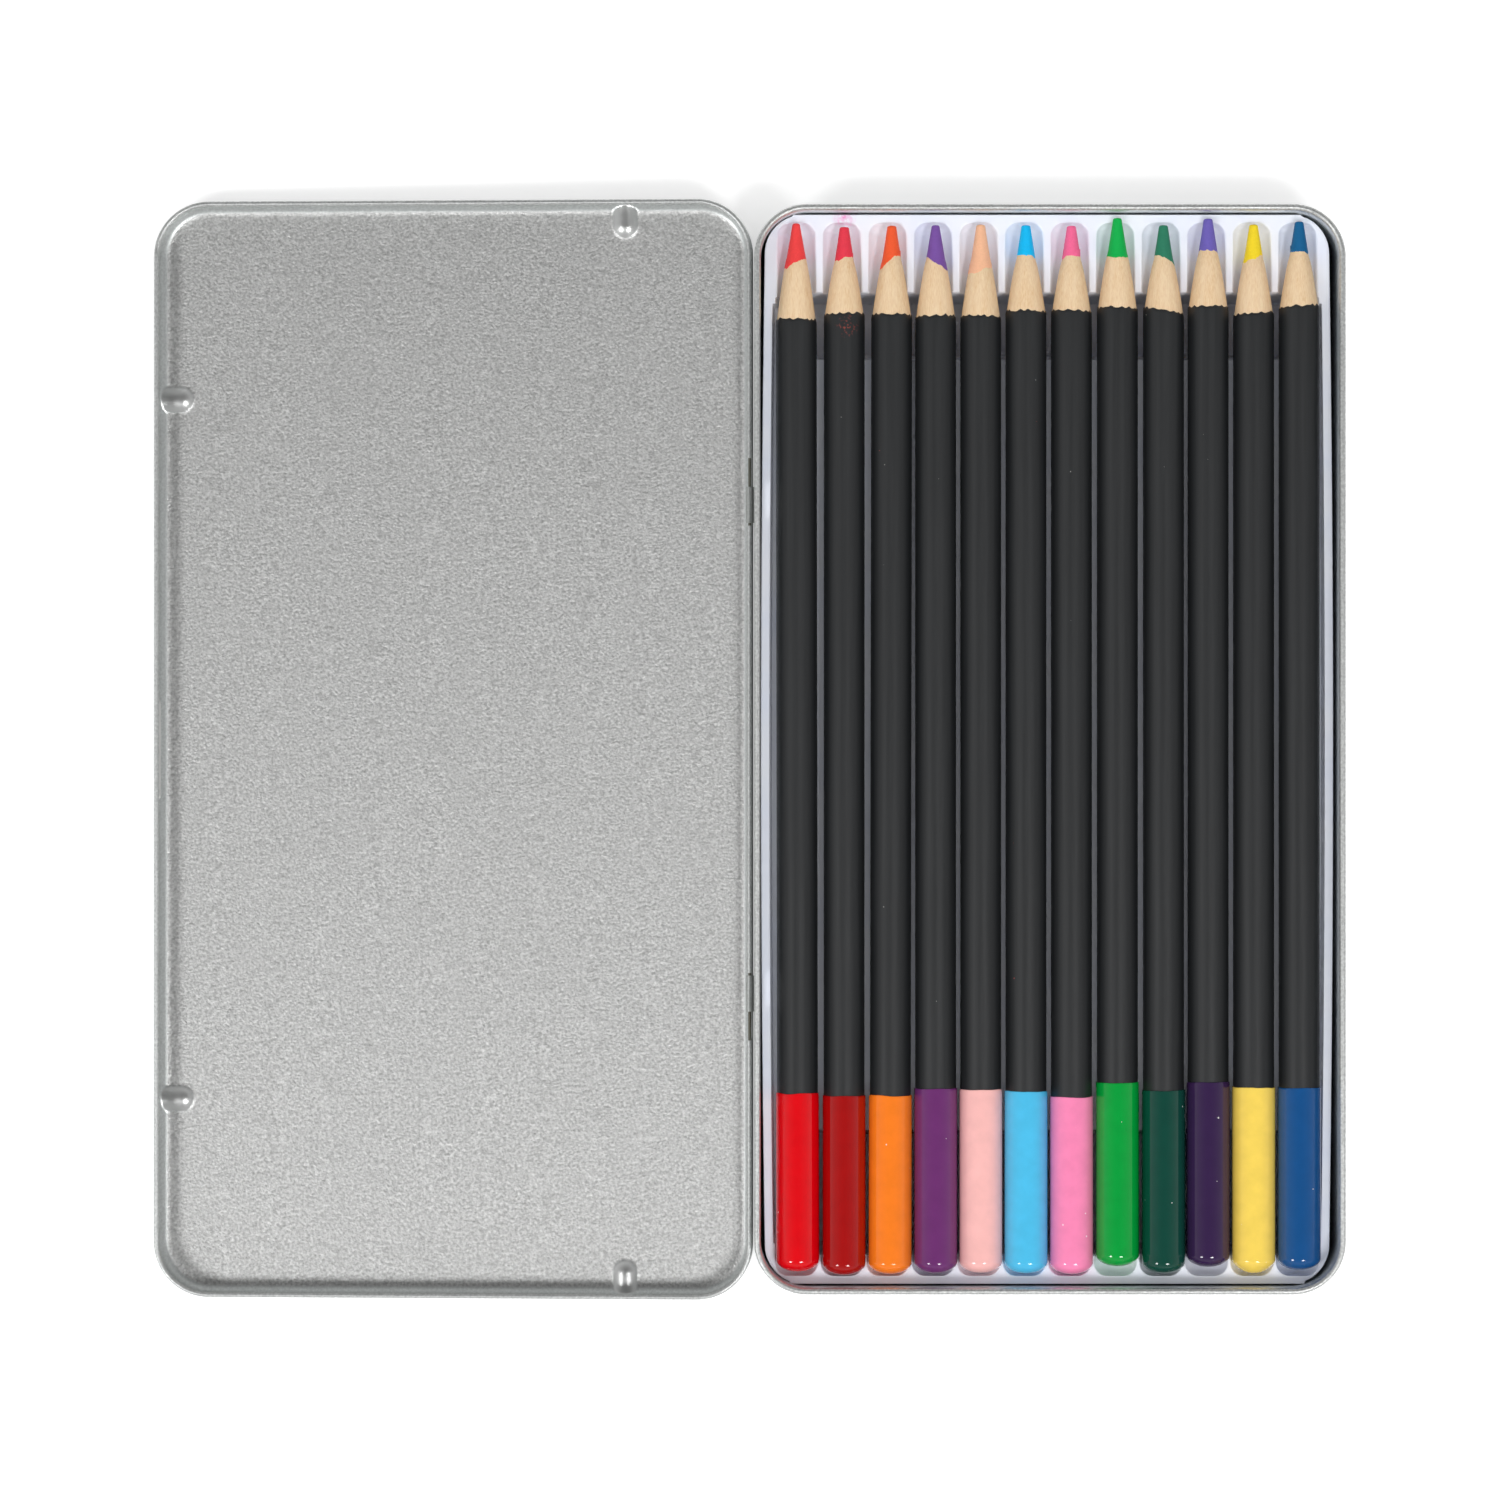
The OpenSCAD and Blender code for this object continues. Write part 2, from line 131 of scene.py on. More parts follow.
# tray
TRAY_T = 0.4
TRAY_W, TRAY_L, FLANGE_Z = 2 * tray_box[1].x, 2 * tray_box[1].y, tray_box[1].z
TRAY_BOW = 0.65
TRAY_CORNER_R = 6.6
TRAY_EDGE_R = 0.18
SKIRT_Z = 1.9
PITCH = 7.7
FLUTES = 12
FLUTE_R = 3.7
FLUTE_NECK_R = 3.45
FLUTE_NOSE_R = 3.3
FLUTE_LIFT = 0.95  # a flute's axis above the flange
FLUTE_END_R = 2.2
FLUTE_L = TRAY_L - 2.7
SIDE_FLANGE = 1.4
BED_DEPTH = 2.05
TROUGH_R = 2
TROUGH_FLOOR = SHEET + TRAY_T
POINT_TROUGH_IN, POINT_TROUGH_W = 11.7, 11.8
END_TROUGH_IN, END_TROUGH_W = 3.5, 21.5
TROUGH_REACH = (FLUTES - 1) / 2 * PITCH + BARREL_R
TAPER_L = POINT_TROUGH_IN + 1
BED_SLOPE, TROUGH_SLOPE = 0.45, 1.5
CREST_ROUND = 0.5
TRAY_SHIFT = -0.28  # within its play, towards the hinge
BOW_END_Y = TRAY_L / 2 - TRAY_CORNER_R - 0.5
BOW_R = (BOW_END_Y ** 2 + TRAY_BOW ** 2) / (2 * TRAY_BOW)

# grain of the sheet: share on each roll, and where it starts on the bends,
# counted in points of the sheet's line from the end of the bend
BASE_ROLL_GRAIN, LID_ROLL_GRAIN = 0.6, 0.5
BASE_GRAIN_START, BASE_GRAIN_FULL = 0, 2
LID_GRAIN_START, LID_GRAIN_FULL = -4.5, -3
# painted shade on the base's hinge tongues, as a share of the dark tone that the lid's hinge bars get
TONGUE_SHADE = 0.3

# a pink smear on the tray's flange and red dust on the second barrel
SMEAR_AT = (-34.6, 89.7, FLANGE_Z)
RED_DUST_AT = (-34.1, 71.3, 12.8)

# studio: brightness of the room at the horizon and straight above, and what
# the floor adds for the camera and in reflections
WALL_LIGHT, CEILING_LIGHT = 0.6, 0.1
FLOOR_GLOW, FLOOR_GLINT = 0.42, 0.1
FLOOR_HALF, FLOOR_Z = 2000, -0.05

# each lamp's place and width in metres, its watts, and whether metal mirrors it
LAMPS = [("overhead", (0.0, -0.2, 1.6), 2.4, 15.3, False),
         ("left_box", (-1.2, -0.7, 1.45), 0.44, 10, True),
         ("right_box", (0.55, -0.75, 1.6), 0.44, 11, True)]
CAMERA_AT = (-0.0505, -0.000127, 0.95)
LENS, SENSOR = 133.6, 36

# For each pencil: bare core at its left and right side, sharpened length at
# its left and right side, length of its dip, radius of its tip, and how far
# its tip leans within the tray's play, all in millimetres.
CUTS = [
    (7.7, 6.0, 16.2, 16.3, 30.2, 0.6, -0.25), (5.8, 4.8, 14.8, 14.6, 30.4, 0.76, 0.05),
    (7.2, 4.1, 15.0, 15.1, 30.2, 0.74, 0.3), (5.3, 7.5, 15.5, 15.3, 31.3, 0.64, 0),
    (8.4, 7.2, 15.4, 15.6, 31.0, 0.72, 0), (4.9, 5.5, 14.4, 14.6, 30.8, 0.74, 0),
    (5.6, 3.9, 14.3, 14.5, 30.0, 0.74, 0), (6.6, 6.7, 15.1, 15.3, 31.1, 0.7, 0),
    (5.0, 6.4, 13.9, 15.0, 31.0, 0.72, 0), (5.4, 5.6, 14.9, 14.9, 31.3, 0.72, 0),
    (6.5, 5.3, 15.3, 14.8, 31.4, 0.7, 0), (4.4, 5.4, 14.6, 14.1, 30.8, 0.72, 0),
]
CORE_COLOURS = ["fa4646", "f03c50", "fc5f30", "7f55aa", "ffc39c", "00c2ff",
                "ff6e9e", "00b850", "2d8264", "7264be", "ffe028", "0a6498"]
DIP_COLOURS = ["e3000f", "a80a0a", "ff8220", "6e3070", "ffc0bc", "50c3f0",
               "ff8cba", "00a03c", "0b463a", "36204a", "fcd95f", "12508c"]


def smooth_min(a, b, blend):
    """The smaller value, with the crease between the two rounded."""
    h = max(blend - abs(a - b), 0) / blend
    return min(a, b) - h * h * blend / 4


def ease(value, low, high):
    """Rises smoothly from 0 at one value to 1 at another."""
    t = min(max((value - low) / (high - low), 0), 1)
    return t * t * (3 - 2 * t)


# ---------- node trees ----------

class Graph:
    """Adds nodes to a tree and links them."""

    def __init__(self, tree):
        self.tree = tree

    def feed(self, socket, value):
        if isinstance(value, bpy.types.NodeSocket):
            self.tree.links.new(value, socket)
        else:
            socket.default_value = value

    def add(self, kind, values=None, **settings):
        node = self.tree.nodes.new(kind)
        for key, value in settings.items():
            setattr(node, key, value)
        for key, value in (values or {}).items():
            self.feed(node.inputs[key], value)
        return node

    def calc(self, operation, *values, clamp=False):
        node = self.add("ShaderNodeMath", operation=operation, use_clamp=clamp)
        for socket, value in zip(node.inputs, values):
            self.feed(socket, value)
        return node.outputs[0]

    def blend(self, factor, a, b):
        node = self.add("ShaderNodeMix", data_type="RGBA")
        for socket, value in zip((node.inputs[0], node.inputs[6], node.inputs[7]), (factor, a, b)):
            self.feed(socket, value)
        return node.outputs[2]

    def remap(self, value, low, high, to_low, to_high):
        values = {0: value, 1: low, 2: high, 3: to_low, 4: to_high}
        return self.add("ShaderNodeMapRange", values).outputs[0]


def new_tree(name, kind, inputs, outputs):
    tree = bpy.data.node_groups.new(name, kind)
    for label, socket, value in inputs:
        made = tree.interface.new_socket(label, in_out="INPUT", socket_type="NodeSocket" + socket)
        if value is not None:
            made.default_value = value
    for label, socket in outputs:
        tree.interface.new_socket(label, in_out="OUTPUT", socket_type="NodeSocket" + socket)
    graph = Graph(tree)
    return graph, graph.add("NodeGroupInput").outputs, graph.add("NodeGroupOutput").inputs


def run_tree(obj, tree, values):
    """Puts a Geometry Nodes tree on an object and gives its named inputs."""
    modifier = obj.modifiers.new(tree.name, "NODES")
    modifier.node_group = tree
    for item in tree.interface.items_tree:
        if item.item_type == "SOCKET" and item.in_out == "INPUT" and item.name in values:
            modifier[item.identifier] = values[item.name]


def settle(obj):
    """Turns an object's evaluated result into a plain mesh."""
    graph = bpy.context.evaluated_depsgraph_get()
    made = bpy.data.meshes.new_from_object(obj.evaluated_get(graph), depsgraph=graph)
    made.name = obj.name
    obj.modifiers.clear()
    obj.data = made


# ---------- pieces ----------

def mesh_object(name, points, faces, edges=()):
    mesh = bpy.data.meshes.new(name)
    mesh.from_pydata([Vector(p) * MM for p in points], list(edges), faces)
    obj = bpy.data.objects.new(name, mesh)
    bpy.context.scene.collection.objects.link(obj)
    return obj


def finish_mesh(obj, sharp=35):
    """Merges doubles, points every face outwards and shades it smooth."""
    shape = bmesh.new()
    shape.from_mesh(obj.data)
    bmesh.ops.remove_doubles(shape, verts=shape.verts, dist=2e-6)
    bmesh.ops.dissolve_degenerate(shape, edges=shape.edges, dist=1e-6)
    bmesh.ops.recalc_face_normals(shape, faces=shape.faces)
    for face in shape.faces:
        face.smooth = True
    shape.to_mesh(obj.data)
    shape.free()
    obj.data.set_sharp_from_angle(angle=math.radians(sharp))


def dress(obj, body, node, material):
    """Gives a piece its finish, its body and the solid that it stands for."""
    obj.data.materials.clear()
    obj.data.materials.append(material)
    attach(obj, body)
    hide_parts(node)


# ---------- sheet metal ----------

def arc(cx, cz, r, start, stop, steps):
    """Points on an arc between two angles in degrees."""
    angles = [math.radians(start + (stop - start) * k / steps) for k in range(steps + 1)]
    return [(cx + r * math.cos(a), cz + r * math.sin(a)) for a in angles]


def straight(line, to, step):
    """Carries a line on to a point, in even steps."""
    x, z = line[-1]
    count = max(1, math.ceil(math.hypot(to[0] - x, to[1] - z) / step))
    for k in range(1, count + 1):
        line.append((x + (to[0] - x) * k / count, z + (to[1] - z) * k / count))


def offset_line(line, distance):
    """A line moved sideways by a distance."""
    moved = []
    for k, (x, z) in enumerate(line):
        ax, az = line[max(k - 1, 0)]
        bx, bz = line[min(k + 1, len(line) - 1)]
        length = math.hypot(bx - ax, bz - az)
        moved.append((x + distance * (bz - az) / length, z - distance * (bx - ax) / length))
    return moved


def spaced(low, high, zones, coarse=12):
    """Stations from low to high, closer together inside the zones."""
    cuts = {round(low, 4), round(high, 4)}
    for start, stop, step in zones:
        count = max(1, math.ceil((stop - start) / step))
        cuts |= {round(start + (stop - start) * k / count, 4) for k in range(count + 1)}
    cuts = sorted(c for c in cuts if low - 1e-3 <= c <= high + 1e-3)
    stations = []
    for a, b in zip(cuts, cuts[1:]):
        count = max(1, math.ceil((b - a) / coarse))
        stations += [a + (b - a) * k / count for k in range(count)]
    return stations + [cuts[-1]]


def round_path(w, l, r, middle_x, zones):
    """Stations round a rectangle with round corners, each with its outward normal."""
    stations = []
    for turn in range(4):
        a = math.radians(90 * turn)
        out, along = Vector((math.cos(a), math.sin(a))), Vector((-math.sin(a), math.cos(a)))
        reach, half = ((w, l / 2 - r), (l, w / 2 - r))[turn % 2]
        for u in spaced(-half, half, zones.get(turn, [])):
            p = out * reach / 2 + along * u
            stations.append((p.x + middle_x, p.y, out.x, out.y, turn))
        centre = out * (reach / 2 - r) + along * half
        for k in range(1, 18):
            b = a + math.radians(5 * k)
            n = Vector((math.cos(b), math.sin(b)))
            p = centre + n * r
            stations.append((p.x + middle_x, p.y, n.x, n.y, -1))
    return stations


def sheet_shell(line, stations, gone):
    """Sweeps a sheet's middle line round a path and closes its flat inside.

    Returns the points, the faces, and each point's place along the line."""
    count, sides = len(line), (offset_line(line, SHEET / 2), offset_line(line, -SHEET / 2))
    points, places, faces = [], [], []
    for px, py, nx, ny, _ in stations:
        for side in sides:
            points += [(px + nx * x, py + ny * x, z) for x, z in side]
            places += range(count)
    total = len(stations)

    def at(i, side, j):
        return ((i % total) * 2 + side) * count + j

    def kept(i, j):
        """Whether the sheet is there after station i, past point j."""
        if not 0 <= j < count - 1:
            return False
        px, py, nx, ny, turn = stations[i % total]
        qy = stations[(i + 1) % total][1]
        return not gone(turn, (py + qy) / 2, (line[j][1] + line[j + 1][1]) / 2)

    for i in range(total):
        for j in range(count - 1):
            if not kept(i, j):
                continue
            faces.append((at(i, 0, j), at(i + 1, 0, j), at(i + 1, 0, j + 1), at(i, 0, j + 1)))
            faces.append((at(i, 1, j), at(i, 1, j + 1), at(i + 1, 1, j + 1), at(i + 1, 1, j)))
            if not kept(i, j - 1):
                faces.append((at(i, 0, j), at(i, 1, j), at(i + 1, 1, j), at(i + 1, 0, j)))
            if j + 1 < count - 1 and not kept(i, j + 1):
                faces.append((at(i, 0, j + 1), at(i + 1, 0, j + 1), at(i + 1, 1, j + 1), at(i, 1, j + 1)))
            if not kept(i - 1, j):
                faces.append((at(i, 0, j), at(i, 0, j + 1), at(i, 1, j + 1), at(i, 1, j)))
            if not kept(i + 1, j):
                faces.append((at(i + 1, 0, j), at(i + 1, 1, j), at(i + 1, 1, j + 1), at(i + 1, 0, j + 1)))
    for side in (0, 1):
        faces.append(tuple(at(i, side, count - 1) for i in range(total)))
    return points, faces, places


def add_strip(points, faces, line, ys):
    """Adds a flat strip of sheet that follows a line and is as wide as ys."""
    sides = (offset_line(line, SHEET / 2), offset_line(line, -SHEET / 2))
    loop = sides[0] + sides[1][::-1]
    first, count = len(points), len(loop)
    for y in ys:
        points += [(x, y, z) for x, z in loop]
    for i in range(len(ys) - 1):
        for j in range(count):
            a, b = first + i * count + j, first + i * count + (j + 1) % count
            faces.append((a, b, b + count, a + count))
    half = len(line)
    for base in (first, first + (len(ys) - 1) * count):
        for j in range(half - 1):
            faces.append((base + j, base + j + 1, base + count - 2 - j, base + count - 1 - j))


def add_bar(points, faces, x, z, r, ys, sides=20):
    """Adds a round bar along Y."""
    first = len(points)
    for y in ys:
        points += [(x + r * math.cos(2 * math.pi * k / sides), y,
                    z + r * math.sin(2 * math.pi * k / sides)) for k in range(sides)]
    for i in range(len(ys) - 1):
        for k in range(sides):
            a, b = first + i * sides + k, first + i * sides + (k + 1) % sides
            faces.append((a, b, b + sides, a + sides))
    faces.append(tuple(range(first, first + sides)))
    faces.append(tuple(range(first + (len(ys) - 1) * sides, first + len(ys) * sides)))


def set_value(obj, name, values):
    """Stores one number for each point, which the tinplate finish reads."""
    attribute = obj.data.attributes.new(name, "FLOAT", "POINT")
    attribute.data.foreach_set("value", values)


def on_outside(places, outer_side, roll_end):
    """1 for each point past the roll on the outer side of a swept sheet."""
    count = max(places) + 1
    return [(k // count) % 2 == outer_side and place > roll_end for k, place in enumerate(places)]


def base_tin():
    """The base: rolled rim, wall, foot and floor, with two curled tongues."""
    roll_r = (RIM_D - SHEET) / 2
    line = arc(-RIM_D / 2, BASE_H - RIM_D / 2, roll_r, -90, 180, 20)
    roll_end = len(line)
    slot_low = HINGE_Z - CURL_OUT + SHEET
    wall_x = -RIM_D + SHEET / 2
    straight(line, (wall_x, slot_low + LANCE_H), 1)
    straight(line, (wall_x, slot_low), 1)
    straight(line, (wall_x, FOOT_R), 3)
    bend = FOOT_R + WALL_IN
    line += arc(-bend, FOOT_R, FOOT_R - SHEET / 2, 0, -90, 8)[1:]
    bend_end = len(line)
    straight(line, (-bend - FLOOR_BORDER, SHEET / 2), 0.8)
    tongue = [(side * TONGUE_Y - TONGUE_W / 2, side * TONGUE_Y + TONGUE_W / 2, 2) for side in (-1, 1)]
    stations = round_path(BASE_W, BASE_L, CORNER_R, 0, {2: tongue})

    def gone(turn, y, z):
        in_slot = slot_low < z < slot_low + LANCE_H
        return turn == 2 and in_slot and abs(abs(y) - TONGUE_Y) < TONGUE_W / 2

    points, faces, places = sheet_shell(line, stations, gone)
    grain = [max(ease(place - bend_end, BASE_GRAIN_START, BASE_GRAIN_FULL),
                 BASE_ROLL_GRAIN * (place < roll_end)) for place in places]
    outside = on_outside(places, 1, roll_end)
    sheet_count = len(points)
    curl = [(-BASE_W / 2 + WALL_IN + SHEET / 2, HINGE_Z - CURL_MID)]
    straight(curl, (HINGE_X, HINGE_Z - CURL_MID), 0.4)
    curl += arc(HINGE_X, HINGE_Z, CURL_MID, 270, 10, 18)[1:]
    for side in (-1, 1):
        low_y, high_y = side * TONGUE_Y - TONGUE_W / 2, side * TONGUE_Y + TONGUE_W / 2
        add_strip(points, faces, curl, [low_y, low_y + 0.1, high_y - 0.1, high_y])
    added = [0] * (len(points) - sheet_count)
    obj = mesh_object("base_tin", points, faces)
    set_value(obj, "grain", grain + added)
    set_value(obj, "outside", outside + added)
    # painted shade: the tongues get part of the dark hinge tone
    set_value(obj, "rubbed", [TONGUE_SHADE * (k >= sheet_count) for k in range(len(points))])
    finish_mesh(obj)
    return obj


def press_dimples(points, count):
    """Presses the four stops and the snap bead into the closed lid.

    Count is how many points its line has. Each bump has its full radius on
    the lid's inside, and a sheet less on its outside."""
    axis_z = CLOSED_H - SHEET - DIMPLE_H + DIMPLE_R
    reach = DIMPLE_L - math.sqrt(DIMPLE_R ** 2 - (DIMPLE_R - DIMPLE_H) ** 2)
    end_y = LID_L / 2 - SHEET
    tools = [((LID_FRONT_X, s * FRONT_DIMPLE_Y), (-1, 0)) for s in (-1, 1)]
    tools += [((HINGE_X + END_DIMPLE_X, s * end_y), (0, -s)) for s in (-1, 1)]
    bead_x, bead_z = BASE_W / 2 + SNAP_GAP + SNAP_R, BASE_H - RIM_D - SNAP_DROP
    bead_half = SNAP_L / 2 - math.sqrt(SNAP_R ** 2 - (SNAP_R / 2) ** 2)
    pressed = []
    for k, (x, y, z) in enumerate(points):
        less = 0 if (k // count) % 2 else SHEET
        for (tx, ty), (ix, iy) in tools:
            along = (x - tx) * ix + (y - ty) * iy
            across = abs((x - tx) * iy - (y - ty) * ix)
            away = math.hypot(across, max(along - reach, 0))
            r = DIMPLE_R - less
            if away < r and along > -1:
                z = smooth_min(z, axis_z - math.sqrt(r * r - away * away), DIMPLE_BLEND)
        away = math.hypot(max(abs(y) - bead_half, 0), z - bead_z)
        r = SNAP_R - less
        if away < r and x > LID_FRONT_X - 0.1:
            x = smooth_min(x, bead_x - math.sqrt(r * r - away * away), SNAP_BLEND)
        pressed.append((x, y, z))
    return pressed


def lid_tin():
    """The lid: rolled edge, wall and top, with dimples, bead and hinge windows."""
    line = arc(-EDGE_D / 2, HINGE_Z, (EDGE_D - SHEET) / 2, 90, 360, 18)
    roll_end = len(line)
    straight(line, (-SHEET / 2, WINDOW_TOP), FINE)
    straight(line, (-SHEET / 2, CLOSED_H - LID_EDGE_R), FINE)
    line += arc(-LID_EDGE_R, CLOSED_H - LID_EDGE_R, LID_EDGE_R - SHEET / 2, 0, 90, 12)[1:]
    bend_end = len(line)
    straight(line, (-LID_BORDER, CLOSED_H - SHEET / 2), FINE)

    def zone(middle, half, step):
        return middle - half, middle + half, step

    end_x = HINGE_X + END_DIMPLE_X - LID_X
    zones = {0: [zone(-FRONT_DIMPLE_Y, DIMPLE_ZONE, FINE), zone(FRONT_DIMPLE_Y, DIMPLE_ZONE, FINE),
                 zone(0, SNAP_L / 2 + 0.6, 0.3)],
             1: [zone(-end_x, DIMPLE_ZONE, FINE)],
             2: [zone(-WINDOW_Y, WINDOW_L / 2, 3), zone(WINDOW_Y, WINDOW_L / 2, 3)],
             3: [zone(end_x, DIMPLE_ZONE, FINE)]}
    stations = round_path(LID_W, LID_L, LID_CORNER_R, LID_X, zones)

    def gone(turn, y, z):
        return turn == 2 and z < WINDOW_TOP and abs(abs(y) - WINDOW_Y) < WINDOW_L / 2

    points, faces, places = sheet_shell(line, stations, gone)
    flat_points, points = points, press_dimples(points, len(line))
    pressed = [ease(math.dist(a, b), 0.02, 0.2) for a, b in zip(flat_points, points)]
    grain = [max(ease(place - bend_end, LID_GRAIN_START, LID_GRAIN_FULL) * (1 - p),
                 LID_ROLL_GRAIN * (place < roll_end)) for place, p in zip(places, pressed)]
    outside = on_outside(places, 0, roll_end)
    sheet_count = len(points)
    for side in (-1, 1):
        ends = side * WINDOW_Y - WINDOW_L / 2 - 1, side * WINDOW_Y + WINDOW_L / 2 + 1
        add_bar(points, faces, HINGE_X, HINGE_Z, BAR_R, ends)
    added = [0] * (len(points) - sheet_count)
    pivot = Vector((HINGE_X, 0, HINGE_Z))
    turned = Matrix.Rotation(math.radians(-OPEN_ANGLE), 3, "Y")
    points = [pivot + turned @ (Vector(p) - pivot) for p in points]
    obj = mesh_object("lid_tin", points, faces)
    set_value(obj, "grain", grain + added)
    set_value(obj, "pressed", pressed + added)
    set_value(obj, "outside", outside + added)
    # painted shade: the hinge bars get the full dark tone, as if in shadow in the windows
    set_value(obj, "rubbed", [k >= sheet_count for k in range(len(points))])
    finish_mesh(obj)
    return obj


# ---------- tray ----------

def press_tree():
    """Geometry Nodes that press flutes, their bed and two troughs into a flat blank."""
    sizes = [("Pitch", PITCH), ("Flute Radius", FLUTE_R), ("Neck Radius", FLUTE_NECK_R),
             ("Nose Radius", FLUTE_NOSE_R), ("Flute Lift", FLUTE_LIFT), ("Flute Length", FLUTE_L),
             ("End Radius", FLUTE_END_R), ("Taper Length", TAPER_L), ("Flange Height", FLANGE_Z),
             ("Bed Depth", BED_DEPTH), ("Bed Width", TRAY_W - 2 * SIDE_FLANGE), ("Bow Radius", BOW_R),
             ("Trough Floor", TROUGH_FLOOR), ("Trough Corner", TROUGH_R), ("Trough Reach", TROUGH_REACH),
             ("Point Trough In", POINT_TROUGH_IN), ("Point Trough Width", POINT_TROUGH_W),
             ("End Trough In", END_TROUGH_IN), ("End Trough Width", END_TROUGH_W),
             ("Crest Rounding", CREST_ROUND)]
    inputs = [("Blank", "Geometry", None), ("Flutes", "Int", FLUTES), ("Material", "Material", None)]
    g, given, result = new_tree("Press flutes and troughs", "GeometryNodeTree",
                                inputs + [(n, "Float", v * MM) for n, v in sizes], [("Tray", "Geometry")])
    c = g.calc
    x, y, z = g.add("ShaderNodeSeparateXYZ", {0: g.add("GeometryNodeInputPosition").outputs[0]}).outputs

    # flutes: full radius along the barrel, a slimmer neck and nose at the point
    last = c("SUBTRACT", given["Flutes"], 1)
    half_count = c("MULTIPLY", last, 0.5)
    place = c("ROUND", c("ADD", c("DIVIDE", x, given["Pitch"]), half_count))
    place = c("MINIMUM", c("MAXIMUM", place, 0), last)
    across = c("SUBTRACT", x, c("MULTIPLY", c("SUBTRACT", place, half_count), given["Pitch"]))
    half = c("MULTIPLY", given["Flute Length"], 0.5)
    body_end = c("SUBTRACT", half, given["End Radius"])
    neck = c("SUBTRACT", half, given["Taper Length"])
    taper = c("DIVIDE", c("SUBTRACT", y, neck), c("SUBTRACT", body_end, neck), clamp=True)
    slim_r = g.add("ShaderNodeMix", {0: taper, 2: given["Neck Radius"], 3: given["Nose Radius"]}).outputs[0]
    slim = c("GREATER_THAN", y, neck)
    full_r = g.add("ShaderNodeMix", {0: slim, 2: given["Flute Radius"], 3: slim_r}).outputs[0]
    over = c("DIVIDE", c("SUBTRACT", c("ABSOLUTE", y), body_end), given["End Radius"], clamp=True)
    rounding = c("SQRT", c("SUBTRACT", 1, c("MULTIPLY", over, over)))
    r = c("SUBTRACT", full_r, c("MULTIPLY", given["End Radius"], c("SUBTRACT", 1, rounding)))
    r = c("MULTIPLY", r, c("LESS_THAN", c("ABSOLUTE", y), half))
    square = c("SUBTRACT", c("MULTIPLY", r, r), c("MULTIPLY", across, across))
    depth = c("SUBTRACT", c("SQRT", c("MAXIMUM", square, 0)), given["Flute Lift"])

    def wall(edge, height, slope):
        """Falls from the edge to a depth, over a width."""
        step = g.add("ShaderNodeMapRange", {0: edge, 1: 0.0, 2: -slope * MM, 3: 0.0, 4: 1.0},
                     interpolation_type="SMOOTHSTEP").outputs[0]
        return c("MULTIPLY", step, height)

    # bed: its sides follow the tray's bowed sides, its ends lie in the troughs
    bow = given["Bow Radius"]
    sag = c("SUBTRACT", bow, c("SQRT", c("SUBTRACT", c("MULTIPLY", bow, bow), c("MULTIPLY", y, y))))
    side = c("ADD", c("SUBTRACT", c("ABSOLUTE", x), c("MULTIPLY", given["Bed Width"], 0.5)), sag)
    bed = wall(side, given["Bed Depth"], BED_SLOPE)
    bed_stop = c("SUBTRACT", c("SUBTRACT", half, given["Point Trough In"]), given["Trough Corner"])
    bed = c("MULTIPLY", bed, c("LESS_THAN", y, bed_stop))
    bed_start = c("SUBTRACT", c("ADD", given["End Trough In"], given["Trough Corner"]), half)
    bed = c("MULTIPLY", bed, c("GREATER_THAN", y, bed_start))
    depth = c("SMOOTH_MAX", depth, bed, given["Crest Rounding"])

    # troughs: rectangles with round corners, down to the base's floor
    full_depth = c("SUBTRACT", given["Flange Height"], given["Trough Floor"])
    corner = given["Trough Corner"]
    for end, sign in (("Point", 1), ("End", -1)):
        half_w = c("MULTIPLY", given[end + " Trough Width"], 0.5)
        middle = c("SUBTRACT", c("SUBTRACT", half, given[end + " Trough In"]), half_w)
        from_middle = c("ABSOLUTE", c("SUBTRACT", c("MULTIPLY", y, sign), middle))
        dx = c("SUBTRACT", c("ABSOLUTE", x), c("SUBTRACT", given["Trough Reach"], corner))
        dy = c("SUBTRACT", from_middle, c("SUBTRACT", half_w, corner))
        ox, oy = c("MAXIMUM", dx, 0), c("MAXIMUM", dy, 0)
        outside = c("SQRT", c("ADD", c("MULTIPLY", ox, ox), c("MULTIPLY", oy, oy)))
        edge = c("SUBTRACT", c("ADD", outside, c("MINIMUM", c("MAXIMUM", dx, dy), 0)), corner)
        depth = c("MAXIMUM", depth, wall(edge, full_depth, TROUGH_SLOPE))
    pressed = c("MINIMUM", z, c("SUBTRACT", given["Flange Height"], depth))
    position = g.add("ShaderNodeCombineXYZ", {0: x, 1: y, 2: pressed}).outputs[0]
    moved = g.add("GeometryNodeSetPosition", {"Geometry": given["Blank"], "Position": position})
    real = g.add("GeometryNodeRealizeInstances", {0: moved.outputs[0]})
    named = g.add("GeometryNodeSetMaterial", {"Geometry": real.outputs[0], "Material": given["Material"]})
    g.feed(result[0], named.outputs[0])
    return g.tree


def flute_radius(y):
    """Radius of a flute at a distance along the tray."""
    body_end = FLUTE_L / 2 - FLUTE_END_R
    neck = FLUTE_L / 2 - TAPER_L
    r = FLUTE_R
    if y > neck:
        r = FLUTE_NECK_R + (FLUTE_NOSE_R - FLUTE_NECK_R) * min((y - neck) / (body_end - neck), 1)
    over = min(max((abs(y) - body_end) / FLUTE_END_R, 0), 1)
    return r - FLUTE_END_R * (1 - math.sqrt(1 - over ** 2))


